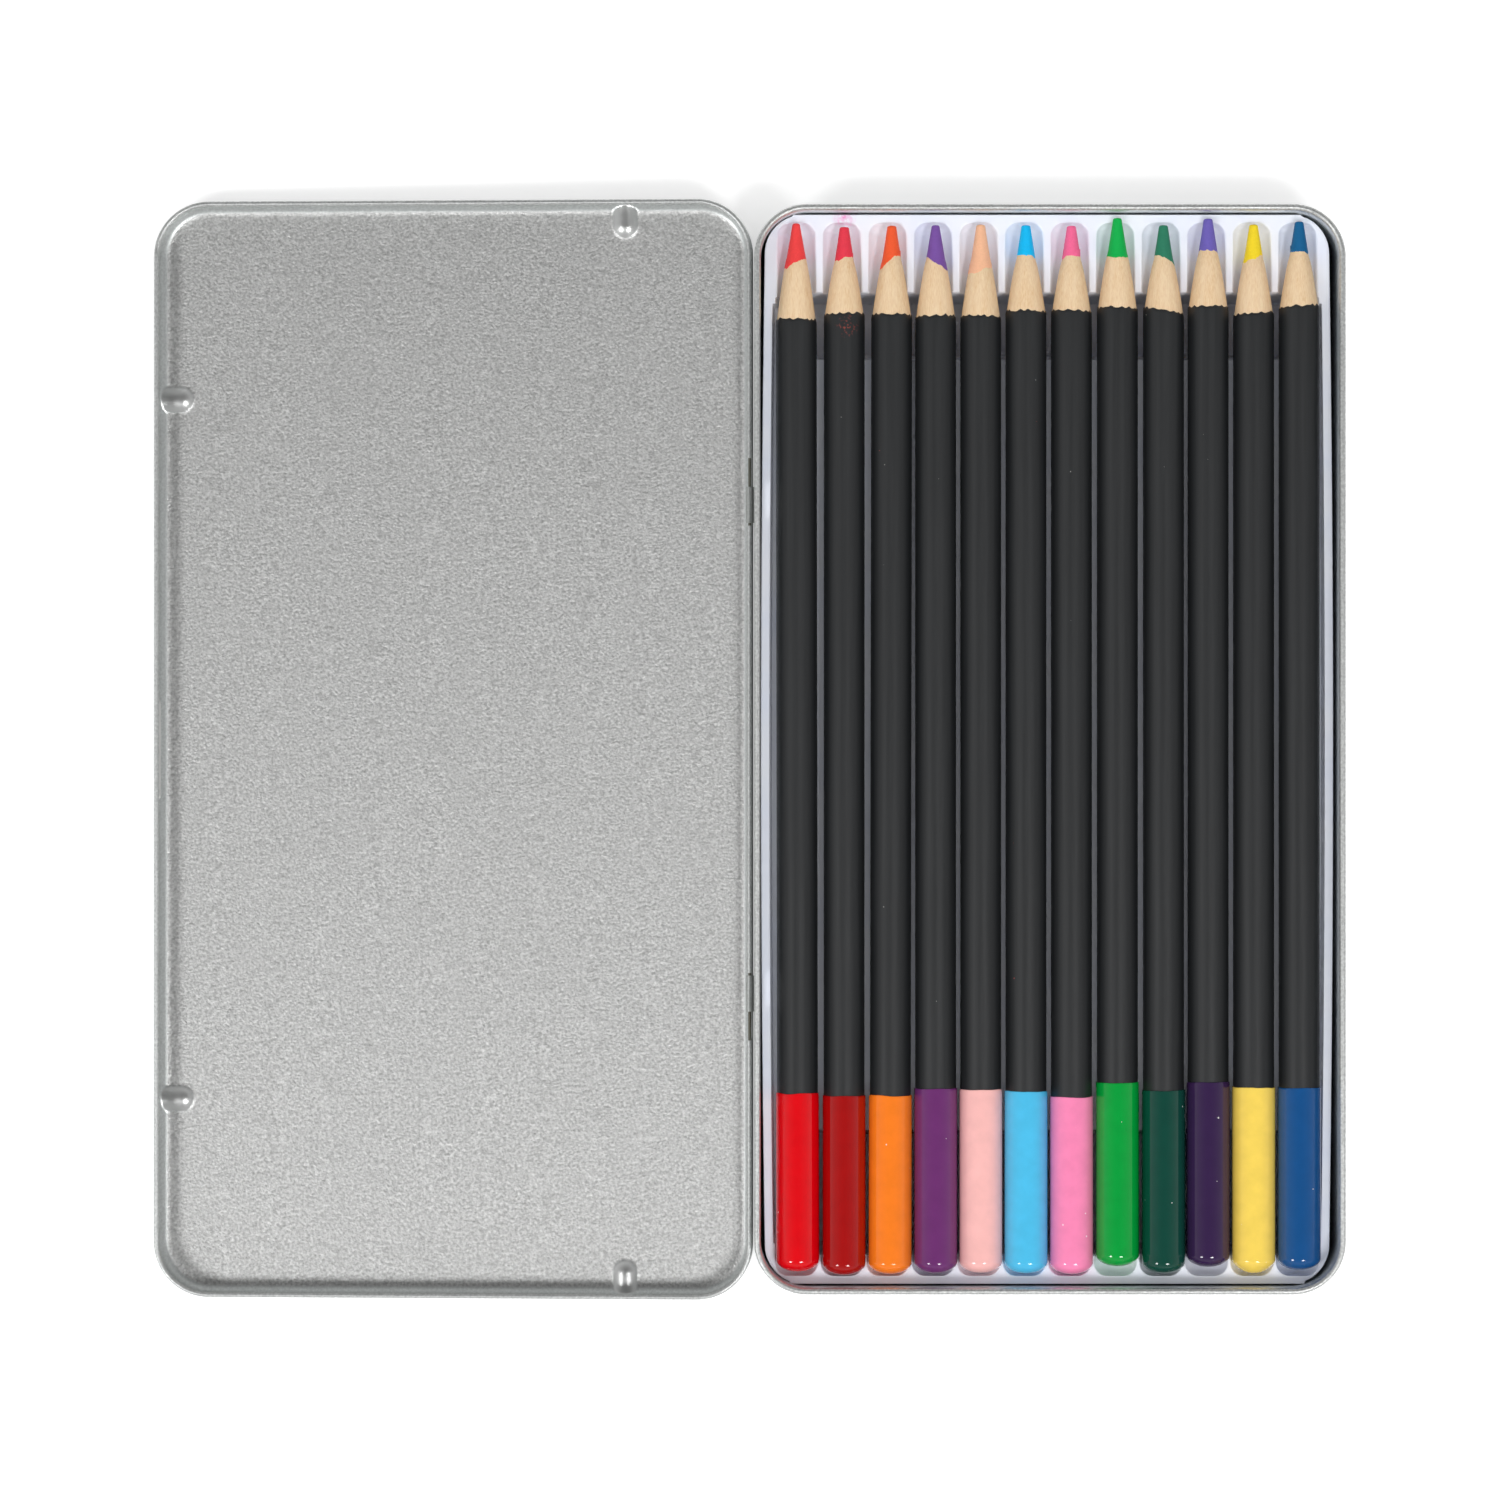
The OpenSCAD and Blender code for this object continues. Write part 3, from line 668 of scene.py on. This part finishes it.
def blank_columns(y, room):
    """Places across one row of the blank, dense at each crest and side wall."""
    open_half = math.sqrt(max(flute_radius(y) ** 2 - FLUTE_LIFT ** 2, 0.04))
    crest = PITCH / 2 - open_half
    from_crest = [crest * u for u in (0, 0.5, 0.85, 1)]
    from_crest += [crest + open_half * u for u in (0.05, 0.12, 0.22, 0.35, 0.5, 0.68, 0.85, 1)]
    axis = (FLUTES - 1) / 2 * PITCH
    places = {0.0}
    for k in range(FLUTES // 2):
        places |= {round(k * PITCH + d, 5) for d in from_crest}
        if k:
            places |= {round(k * PITCH - d, 5) for d in from_crest[:-1]}
    places |= {round(axis + open_half * u, 5) for u in (0.15, 0.32, 0.5, 0.65, 0.78, 0.88)}
    places = sorted(places)
    bed = TRAY_W / 2 - SIDE_FLANGE - (BOW_R - math.sqrt(BOW_R ** 2 - y * y))
    at_point = y > FLUTE_L / 2 - POINT_TROUGH_IN
    outer = [axis + open_half, (axis + open_half + room) / 2 if at_point else axis + 3.3]
    outer += [TROUGH_REACH - d for d in (1.5, 1.1, 0.75, 0.4, 0)]
    outer += [bed + d for d in (-0.45, -0.34, -0.22, -0.11, 0, 0.15)]
    outer += [room - 0.35]
    outer = sorted(min(v, room - 0.02) for v in outer)
    for v in outer + [room]:
        places.append(max(v, places[-1] + 0.006))
    return [-v for v in places[:0:-1]] + places


def tray_blank():
    """The tray's flat blank with its rounded edge and skirt."""
    edge = TRAY_EDGE_R
    end_half = TRAY_W / 2 - TRAY_BOW
    side_y, corner_x = TRAY_L / 2 - TRAY_CORNER_R, end_half - TRAY_CORNER_R
    inner_r = TRAY_CORNER_R - edge

    def half_width(y):
        if abs(y) <= side_y:
            return math.sqrt(BOW_R ** 2 - y * y) - BOW_R + TRAY_W / 2 - edge
        return corner_x + math.sqrt(max(inner_r ** 2 - (abs(y) - side_y) ** 2, 0))

    flute_half = FLUTE_L / 2
    last_y = TRAY_L / 2 - edge
    zones = [(flute_half - FLUTE_END_R - 0.2, flute_half - 0.3, 0.22),
             (flute_half - 0.3, flute_half + 0.15, 0.08)]
    rows = set(spaced(-last_y, last_y, zones + [(-b, -a, s) for a, b, s in zones], 6))
    for k in range(0, 91, 6):
        for sign in (-1, 1):
            rows.add(round(sign * (side_y + inner_r * math.sin(math.radians(k))), 4))
    down_wall = [0.15 * k for k in range(11)]
    for edge_in, width, sign in ((POINT_TROUGH_IN, POINT_TROUGH_W, 1), (END_TROUGH_IN, END_TROUGH_W, -1)):
        for at, inward in ((flute_half - edge_in, -1), (flute_half - edge_in - width, 1)):
            for step in [-0.3] + down_wall + [2]:
                rows.add(round(sign * (at + inward * step), 4))
    rows = sorted(rows)
    rows = [y for k, y in enumerate(rows) if k == 0 or y - rows[k - 1] > 0.015]
    lines = [blank_columns(y, half_width(y)) for y in rows]
    points = [(x, y, FLANGE_Z) for y, line in zip(rows, lines) for x in line]
    wide, tall = len(lines[0]), len(rows)
    faces = [(i * wide + j, i * wide + j + 1, (i + 1) * wide + j + 1, (i + 1) * wide + j)
             for i in range(tall - 1) for j in range(wide - 1)]
    rim = list(range(wide)) + [i * wide + wide - 1 for i in range(1, tall)]
    rim += [(tall - 1) * wide + j for j in range(wide - 2, -1, -1)]
    rim += [i * wide for i in range(tall - 2, 0, -1)]

    def outward(x, y):
        """The way out of the tray, at a point of its rim."""
        if abs(y) > side_y and abs(x) >= corner_x:
            return Vector((x - math.copysign(corner_x, x), y - math.copysign(side_y, y))).normalized()
        if abs(y) > side_y:
            return Vector((0, math.copysign(1, y)))
        return Vector((x + math.copysign(BOW_R - TRAY_W / 2, x), y)).normalized()

    turns = [math.radians(15 * k) for k in range(1, 7)]
    steps = [(edge * math.sin(a), FLANGE_Z - edge * (1 - math.cos(a))) for a in turns]
    steps += [(edge, FLANGE_Z - 2), (edge, SKIRT_Z)]
    ring, ways = rim, [outward(points[v][0], points[v][1]) for v in rim]
    for reach, height in steps:
        first = len(points)
        for v, way in zip(rim, ways):
            points.append((points[v][0] + way.x * reach, points[v][1] + way.y * reach, height))
        new_ring = list(range(first, len(points)))
        for k in range(len(rim)):
            n = (k + 1) % len(rim)
            faces.append((ring[n], ring[k], new_ring[k], new_ring[n]))
        ring = new_ring
    return points, faces


def formed_tray(material):
    """The pressed tray. It lies against the hinge side, within its play."""
    obj = mesh_object("formed_tray", *tray_blank())
    run_tree(obj, press_tree(), {"Flutes": FLUTES, "Material": material})
    wall = obj.modifiers.new("Wall", "SOLIDIFY")
    wall.thickness, wall.offset = TRAY_T * MM, -1
    settle(obj)
    for v in obj.data.vertices:
        v.co.x += TRAY_SHIFT * MM
    finish_mesh(obj, 50)
    return obj


# ---------- pencils ----------

def turn_tree():
    """Geometry Nodes that turn a half outline round its axis."""
    inputs = [("Outline", "Geometry", None), ("Facets", "Int", FACETS), ("Ring", "Float", 0.01),
              ("Material", "Material", None)]
    g, given, result = new_tree("Turn an outline", "GeometryNodeTree", inputs, [("Turned", "Geometry")])
    outline = g.add("GeometryNodeMeshToCurve", {0: given["Outline"]})
    ring = g.add("GeometryNodeCurvePrimitiveCircle", {"Resolution": given["Facets"], "Radius": given["Ring"]})
    turned = g.add("GeometryNodeCurveToMesh", {0: ring.outputs[0], 1: outline.outputs[0]})
    merged = g.add("GeometryNodeMergeByDistance", {"Geometry": turned.outputs[0], "Distance": 2e-6})
    real = g.add("GeometryNodeRealizeInstances", {0: merged.outputs[0]})
    named = g.add("GeometryNodeSetMaterial", {"Geometry": real.outputs[0], "Material": given["Material"]})
    g.feed(result[0], named.outputs[0])
    return g.tree


TURN = turn_tree()
RING = 10  # radius of the turning circle, well clear of the outlines


def turned_piece(name, outline, material, closed=False):
    """Turns (radius, distance from the butt) points round the pencil's axis."""
    points = [(r - RING, -along, 0) for r, along in outline]
    edges = [(k, k + 1) for k in range(len(points) - 1)]
    if closed:
        edges.append((len(points) - 1, 0))
    obj = mesh_object(name, points, [], edges)
    run_tree(obj, TURN, {"Facets": FACETS, "Ring": RING * MM, "Material": material})
    settle(obj)
    return obj


class Pencil:
    """Where a pencil lies and how its point was sharpened.

    Here s is a distance from the tip, and along is one from the butt."""

    def __init__(self, i):
        self.seed, self.name = i, "pencil_%02d" % (i + 1)
        self.core_left, self.core_right, self.cut_left, self.cut_right = CUTS[i][:4]
        self.dip_l, self.tip_r, self.lean = CUTS[i][4:]
        self.cone_l = (self.cut_left + self.cut_right) / 2 + 0.4
        low, high = box_mm(self.name + "_cap")
        self.seat = (low.x + high.x) / 2, low.y, (low.z + high.z) / 2

    def rough(self, offset, angle, scale):
        """A smooth random value round the pencil, from about -1 to 1."""
        place = scale * math.cos(angle), scale * math.sin(angle), 7.3 * (self.seed + offset)
        return 2 * noise.noise(Vector(place))

    def core_end(self, angle):
        """Distance from the tip to the wood's edge on the core."""
        slant = (self.core_right - self.core_left) / 2 * math.sin(angle)
        return ((self.core_left + self.core_right) / 2 + slant
                + 0.22 * self.rough(0, angle, 1.7) + 0.1 * self.rough(20, angle, 6))

    def paint_end(self, angle):
        """Distance from the tip to the lacquer's scalloped edge."""
        slant = (self.cut_right - self.cut_left) / 2 * math.sin(angle)
        scallop = abs(math.sin(angle * 6.5 + 1.3 * self.seed + 1.2 * self.rough(40, angle, 1.2)))
        return ((self.cut_left + self.cut_right) / 2 + slant
                + 0.32 * scallop - 0.16 + 0.12 * self.rough(60, angle, 4))

    def point_radius(self, s):
        """Radius of the sharpened point."""
        if s < CORE_TIP_L:
            return self.tip_r + (CORE_R - self.tip_r) * max(s, 0) / CORE_TIP_L
        t = min((s - CORE_TIP_L) / (self.cone_l - CORE_TIP_L), 1)
        return CORE_R + (WOOD_R - CORE_R) * t ** CONE_CURVE

    def lay(self, obj, change):
        """Moves each vertex of a piece by a rule, then lays it in its flute."""
        axis_x, butt_y, axis_z = self.seat
        for v in obj.data.vertices:
            x, y, along = v.co / MM
            radius, angle = math.hypot(x, y), math.atan2(x, -y)
            radius, along = change(radius, angle, along)
            v.co = Vector((axis_x + self.lean * along / PENCIL_L + radius * math.sin(angle), butt_y + along,
                           axis_z + radius * math.cos(angle))) * MM
        finish_mesh(obj)


def core_piece(pencil, material):
    """The core: its bare tip follows the cone and ends in a slanted edge."""
    start, rings = CORE_TIP_START, 12
    rounded = ((0, 0), (0.44, 0), (0.78, 0.05), (0.95, 0.14))
    outline = [(pencil.tip_r * share, PENCIL_L - s) for share, s in rounded]
    for k in range(rings + 1):
        s = start + (CORE_TIP_L - start) * k / rings
        outline.append((pencil.point_radius(s), PENCIL_L - s))
    outline += [(LEAD_R - 0.1, PENCIL_L - CORE_TIP_L - 0.01), (LEAD_R, PENCIL_L - CORE_TIP_L - 4),
                (LEAD_R, 1), (0, 1)]

    def change(radius, angle, along):
        # the bare tip is stretched so that it ends at the wood's edge
        s = PENCIL_L - along
        if start - 0.01 <= s <= CORE_TIP_L + 0.02:
            share = (s - start) / (CORE_TIP_L - start)
            s = start + share * (pencil.core_end(angle) - start)
            if share <= 1.0005:
                radius = pencil.point_radius(s) + 0.018 * ease(share, 0.5, 1)
            return radius, PENCIL_L - s
        return radius, along

    piece = turned_piece(pencil.name + "_core", outline, material)
    pencil.lay(piece, change)
    return piece


def wood_piece(pencil, material):
    """The wood: a bare cone, then the barrel under its lacquer."""
    outline = [(WOOD_TIP_BORE_R, PENCIL_L - WOOD_START)]
    for k in range(25):
        s = WOOD_START + (pencil.cone_l - WOOD_START) * k / 24
        outline.append((pencil.point_radius(s), PENCIL_L - s))
    outline += [(WOOD_R, PENCIL_L - pencil.cone_l - 1.5), (WOOD_R, 3), (WOOD_BORE_R, 3),
                (WOOD_BORE_R, PENCIL_L - 8.5), (WOOD_TIP_BORE_R, PENCIL_L - 8)]

    def change(radius, angle, along):
        # a little rough where it is bare, and sunk under the core before that
        s = PENCIL_L - along
        bare = ease(s, pencil.core_end(angle) - 0.5, pencil.core_end(angle) - 0.05)
        if s < pencil.cone_l and abs(radius - pencil.point_radius(s)) < 0.01:
            radius += 0.012 * pencil.rough(80, angle, 9) * bare - 0.06 * (1 - bare)
        return radius, along

    piece = turned_piece(pencil.name + "_wood", outline, material, closed=True)
    pencil.lay(piece, change)
    return piece


def lacquer_piece(pencil, material):
    """The lacquer: a thin skin whose front edge the sharpener has scalloped."""
    front = PENCIL_L - 15
    outline = [(LACQUER_BORE_R, front), (3.4, front - 0.16), (BARREL_R - 0.01, front - 0.36),
               (BARREL_R, front - 0.6), (BARREL_R, front - 4), (BARREL_R, 60), (BARREL_R, 32), (BARREL_R, 3),
               (LACQUER_BORE_R, 3), (LACQUER_BORE_R, front - 6)]

    def change(radius, angle, along):
        if along > front - 0.05:
            radius = pencil.point_radius(pencil.paint_end(angle)) + 0.006
        if along > front - 1:
            along -= front - (PENCIL_L - pencil.paint_end(angle))
        return radius, along

    piece = turned_piece(pencil.name + "_lacquer_skin", outline, material, closed=True)
    pencil.lay(piece, change)
    return piece


def dip_piece(pencil, material):
    """The dip: thick glossy paint with a rounded nose, sagged on one pencil."""
    end = pencil.dip_l
    turns = [math.pi / 2 * k / 12 for k in range(13)]
    outline = [(DIP_R * math.sin(a), NOSE * (1 - math.cos(a))) for a in turns]
    outline += [(DIP_R, NOSE + 0.3), (DIP_R, 6), (DIP_R, end - 3), (DIP_R, end - 0.4),
                (DIP_R - 0.01, end - 0.15), (DIP_R - 0.05, end), (BARREL_R + 0.005, end + 0.04),
                (BARREL_R + 0.003, end - 2), (BARREL_R + 0.003, 3), (3, 1.4), (0, 0.5)]

    def change(radius, angle, along):
        if along > end - 0.5:
            along += 0.1 * pencil.rough(100, angle, 1.1)
        if along < 2.2 and pencil.seed == SAGGED_DIP:
            rim = 0.35 * ease(radius, 1, 3.4) * (1 - ease(along, 1.5, 2.2))
            along += rim - 0.05 * (1 - ease(radius, 0, 2.6))
        return radius, along

    piece = turned_piece(pencil.name + "_dip", outline, material)
    pencil.lay(piece, change)
    return piece


# ---------- finishes ----------

def colour(text):
    """A colour from its sRGB hex value."""
    parts = [int(text[k:k + 2], 16) / 255 for k in (0, 2, 4)]
    return tuple(p / 12.92 if p <= 0.04045 else ((p + 0.055) / 1.055) ** 2.4 for p in parts) + (1,)


def toned(tint, share, white=0):
    """A share of a tint, with some white added."""
    return tuple(share * p + white for p in tint[:3]) + (1,)


def cloud_group():
    """Soft clouds at one size, from a low to a high value."""
    inputs = [("Size", "Float", 1.0), ("Detail", "Float", 3.0), ("Low", "Float", 0.0), ("High", "Float", 1.0)]
    g, given, result = new_tree("Soft clouds", "ShaderNodeTree", inputs, [("Value", "Float")])
    place = g.add("ShaderNodeTexCoord").outputs["Object"]
    scale = g.calc("DIVIDE", 1000, given["Size"])
    cloud = g.add("ShaderNodeTexNoise", {"Vector": place, "Scale": scale, "Detail": given["Detail"]})
    g.feed(result[0], g.remap(cloud.outputs[0], 0.3, 0.7, given["Low"], given["High"]))
    return g.tree


def streak_group():
    """Fine streaks along the pencil, from a low to a high value."""
    inputs = [("Size", "Float", 0.3), ("Stretch", "Float", 20.0),
              ("Low", "Float", 0.0), ("High", "Float", 1.0)]
    g, given, result = new_tree("Lengthwise streaks", "ShaderNodeTree", inputs, [("Value", "Float")])
    place = g.add("ShaderNodeSeparateXYZ", {0: g.add("ShaderNodeTexCoord").outputs["Object"]}).outputs
    along = g.calc("DIVIDE", place[1], given["Stretch"])
    vector = g.add("ShaderNodeCombineXYZ", {0: place[0], 1: along, 2: place[2]}).outputs[0]
    scale = g.calc("DIVIDE", 1000, given["Size"])
    streak = g.add("ShaderNodeTexNoise", {"Vector": vector, "Scale": scale, "Detail": 4.0})
    g.feed(result[0], g.remap(streak.outputs[0], 0.3, 0.7, given["Low"], given["High"]))
    return g.tree


def speck_group():
    """Scattered specks of dust. Share is how many cells hold one."""
    inputs = [("Cell", "Float", 3.0), ("Speck", "Float", 0.1), ("Share", "Float", 0.3)]
    outputs = [("Mask", "Float"), ("Pick", "Float")]
    g, given, result = new_tree("Dust specks", "ShaderNodeTree", inputs, outputs)
    place = g.add("ShaderNodeTexCoord").outputs["Object"]
    cells = g.add("ShaderNodeTexVoronoi", {"Vector": place, "Scale": g.calc("DIVIDE", 1000, given["Cell"])})
    pick = g.add("ShaderNodeSeparateColor", {0: cells.outputs["Color"]}).outputs
    speck = g.calc("MULTIPLY", g.calc("DIVIDE", given["Speck"], given["Cell"]), g.calc("ADD", pick[1], 0.4))
    near = g.calc("LESS_THAN", cells.outputs["Distance"], speck)
    held = g.calc("LESS_THAN", pick[0], given["Share"])
    g.feed(result["Mask"], g.calc("MULTIPLY", near, held))
    g.feed(result["Pick"], pick[2])
    return g.tree


CLOUDS, STREAKS, SPECKS = cloud_group(), streak_group(), speck_group()


class Finish(Graph):
    """A material with one Principled shader."""

    def __init__(self, name, **values):
        self.material = bpy.data.materials.new(name)
        self.material.use_nodes = True
        super().__init__(self.material.node_tree)
        self.shader = self.tree.nodes["Principled BSDF"]
        for key, value in values.items():
            self.feed(self.shader.inputs[key.replace("_", " ")], value)

    def group(self, tree, values):
        node = self.add("ShaderNodeGroup", node_tree=tree)
        for key, value in values.items():
            self.feed(node.inputs[key], value)
        return node.outputs

    def clouds(self, size, low, high, detail=3.0):
        return self.group(CLOUDS, {"Size": size, "Detail": detail, "Low": low, "High": high})[0]

    def streaks(self, size, stretch, low, high):
        return self.group(STREAKS, {"Size": size, "Stretch": stretch, "Low": low, "High": high})[0]

    def near(self, point, full, none):
        """1 within one distance of a point, 0 past another, in millimetres."""
        place = self.add("ShaderNodeTexCoord").outputs["Object"]
        away = self.add("ShaderNodeVectorMath", {0: place, 1: Vector(point) * MM}, operation="DISTANCE")
        return self.remap(away.outputs["Value"], full * MM, none * MM, 1.0, 0.0)

    def stored(self, name):
        """A number that the mesh holds for each point."""
        return self.add("ShaderNodeAttribute", attribute_name=name).outputs["Fac"]

    def set(self, name, value):
        self.feed(self.shader.inputs[name], value)

    def bump(self, height, distance):
        values = {"Height": height, "Distance": distance * MM}
        self.set("Normal", self.add("ShaderNodeBump", values).outputs[0])


def tinplate():
    """Sandy panel, satin walls and rolls, bright dimples, with painted shade on the hinge tongues and bars
    and on the outer walls.
    """
    f = Finish("tinplate", Metallic=1.0)
    grain, rubbed, pressed, outside = [f.stored(n) for n in ("grain", "rubbed", "pressed", "outside")]
    sand = f.clouds(0.5, 0.0, 1.0)
    drift = f.clouds(14.0, 0.0, 1.0, 2.0)
    sandy = f.blend(sand, colour("bfbfbe"), colour("f8f8f7"))
    sandy = f.blend(f.calc("MULTIPLY", drift, 0.25), sandy, colour("dadad9"))
    satin = f.blend(f.clouds(0.45, 0.0, 1.0, 2.0), colour("d2d6d5"), colour("e6eae9"))
    # painted shade: hinge tongues and bars turn dark brownish grey, as if lying in shadow
    satin = f.blend(rubbed, satin, f.blend(drift, colour("767266"), colour("8c8d84")))
    satin = f.blend(pressed, satin, colour("f2f3f2"))
    # painted shade: the outer walls get a darker tone, which tones down their reflection of the bright floor
    satin = f.blend(outside, satin, f.blend(drift, colour("b4b8b7"), colour("bec2c1")))
    f.set("Base Color", f.blend(grain, satin, sandy))
    sheen = f.calc("SUBTRACT", f.calc("MULTIPLY", grain, 0.1), f.calc("MULTIPLY", pressed, 0.08))
    f.set("Roughness", f.calc("ADD", sheen, f.clouds(0.8, 0.38, 0.46)))
    f.bump(f.calc("MULTIPLY", f.clouds(0.4, 0.0, 1.0), f.calc("ADD", grain, 0.1)), 0.03)
    return f.material


def tray_plastic():
    """Bluish white plastic, slightly uneven, with one pink smear."""
    f = Finish("tray_plastic", Roughness=0.3)
    base = f.blend(f.clouds(9.0, 0.0, 1.0), colour("ecf1ff"), colour("f4f7ff"))
    smear = f.calc("MULTIPLY", f.near(SMEAR_AT, 0.4, 2.2), f.clouds(0.7, 0.0, 0.9, 2.0))
    f.set("Base Color", f.blend(smear, base, colour("f07ac8")))
    f.bump(f.clouds(6.0, 0.0, 1.0, 1.0), 0.03)
    return f.material


def bare_wood():
    """Sharpened wood with fine and broad streaks."""
    f = Finish("bare_wood", Roughness=0.65)
    fine = f.streaks(0.16, 14.0, 0.0, 1.0)
    broad = f.streaks(0.9, 10.0, 0.0, 1.0)
    tone = f.blend(fine, colour("e2bb8e"), colour("f2d6ae"))
    f.set("Base Color", f.blend(f.calc("MULTIPLY", broad, 0.45), tone, colour("f6dfbe")))
    f.bump(fine, 0.02)
    return f.material


def black_lacquer():
    """Satin black, streaked lengthwise, with specks of pale and red dust."""
    f = Finish("black_lacquer", Specular_IOR_Level=0.6)
    base = f.blend(f.streaks(0.5, 40.0, 0.0, 1.0), colour("16181a"), colour("1e2022"))
    mask, pick = f.group(SPECKS, {"Cell": 3.2, "Speck": 0.09, "Share": 0.3})
    dust = f.blend(f.calc("GREATER_THAN", pick, 0.6), colour("9a9a98"), colour("a04a44"))
    base = f.blend(mask, base, dust)
    red_dust = f.calc("MULTIPLY", f.near(RED_DUST_AT, 0.4, 2.2), f.clouds(0.4, -2.0, 1.0, 1.0), clamp=True)
    f.set("Base Color", f.blend(red_dust, base, colour("963a2c")))
    f.set("Roughness", f.streaks(0.7, 30.0, 0.46, 0.54))
    return f.material


def coloured_core(number, tint):
    """Waxy colour, scored along the point."""
    f = Finish("core_" + number, Roughness=0.55, Specular_IOR_Level=0.3)
    f.set("Base Color", f.blend(f.clouds(0.35, 0.0, 1.0), toned(tint, 0.93), tint))
    f.bump(f.streaks(0.2, 6.0, 0.0, 1.0), 0.02)
    return f.material


def glossy_dip(number, tint):
    """Thick paint under a clear coat, with pale specks."""
    f = Finish("dip_" + number, Roughness=0.4, Specular_IOR_Level=0.0,
               Coat_Weight=1.0, Coat_Roughness=0.07, Coat_IOR=1.6)
    base = f.blend(f.clouds(2.5, 0.0, 1.0), toned(tint, 0.92), tint)
    mask = f.group(SPECKS, {"Cell": 2.0, "Speck": 0.11, "Share": 0.3})["Mask"]
    f.set("Base Color", f.blend(mask, base, toned(tint, 0.4, white=0.6)))
    f.bump(f.clouds(3.0, 0.0, 1.0, 1.0), 0.01)
    return f.material


# ---------- the tin ----------

tin_finish, tray_finish = tinplate(), tray_plastic()
wood_finish, lacquer_finish = bare_wood(), black_lacquer()
dress(base_tin(), "base", "base_shell", tin_finish)
dress(lid_tin(), "lid", "lid_shell", tin_finish)
dress(formed_tray(tray_finish), "tray", "pencil_tray", tray_finish)
for i in range(FLUTES):
    pencil = Pencil(i)
    number = pencil.name[-2:]
    core_finish = coloured_core(number, colour(CORE_COLOURS[i]))
    dip_finish = glossy_dip(number, colour(DIP_COLOURS[i]))
    for make, part, slot, finish in ((core_piece, "_lead", "core_" + number, core_finish),
                                     (wood_piece, "_casing", "wood", wood_finish),
                                     (lacquer_piece, "_lacquer", "black_lacquer", lacquer_finish),
                                     (dip_piece, "_cap", "dip_" + number, dip_finish)):
        dress(make(pencil, finish), pencil.name, pencil.name + part, finish)

# ---------- studio ----------

corners = [(x * FLOOR_HALF, y * FLOOR_HALF, FLOOR_Z) for x, y in ((-1, -1), (1, -1), (1, 1), (-1, 1))]
floor = mesh_object("floor", corners, [(0, 1, 2, 3)])
paper = Finish("white_paper", Roughness=0.8)
paper.set("Base Color", paper.blend(paper.clouds(40.0, 0.0, 1.0), colour("fbfbfb"), colour("ffffff")))
seen = paper.add("ShaderNodeLightPath").outputs
mirrored = paper.calc("MULTIPLY", seen["Is Glossy Ray"], FLOOR_GLINT)
direct = paper.calc("MULTIPLY", seen["Is Camera Ray"], FLOOR_GLOW)
paper.set("Emission Strength", paper.calc("ADD", direct, mirrored))
paper.set("Emission Color", (1, 1, 1, 1))
floor.data.materials.append(paper.material)

# the room: pale walls low down, a darker ceiling above the camera
world = bpy.data.worlds.new("studio")
bpy.context.scene.world = world
world.use_nodes = True
room = Graph(world.node_tree)
upward = room.add("ShaderNodeTexCoord").outputs["Generated"]
height = room.add("ShaderNodeSeparateXYZ", {0: upward}).outputs[2]
backdrop = world.node_tree.nodes["Background"]
backdrop.inputs["Color"].default_value = (1, 1, 1, 1)
room.feed(backdrop.inputs["Strength"], room.remap(height, 0.0, 1.0, WALL_LIGHT, CEILING_LIGHT))


def soft_lamp(name, place, size, power, mirrored):
    """A square lamp that faces the tin."""
    lamp = bpy.data.lights.new(name, "AREA")
    lamp.size, lamp.energy = size, power
    obj = bpy.data.objects.new(name, lamp)
    obj.visible_glossy = mirrored
    bpy.context.scene.collection.objects.link(obj)
    place = Vector(place)
    obj.matrix_world = Matrix.Translation(place) @ (-place).to_track_quat("-Z", "Y").to_matrix().to_4x4()


for lamp in LAMPS:
    soft_lamp(*lamp)

camera_data = bpy.data.cameras.new("camera")
camera_data.lens, camera_data.sensor_width = LENS, SENSOR
camera = bpy.data.objects.new("camera", camera_data)
camera.location = CAMERA_AT
bpy.context.scene.collection.objects.link(camera)
bpy.context.scene.camera = camera

bpy.context.scene.view_settings.view_transform = "Standard"
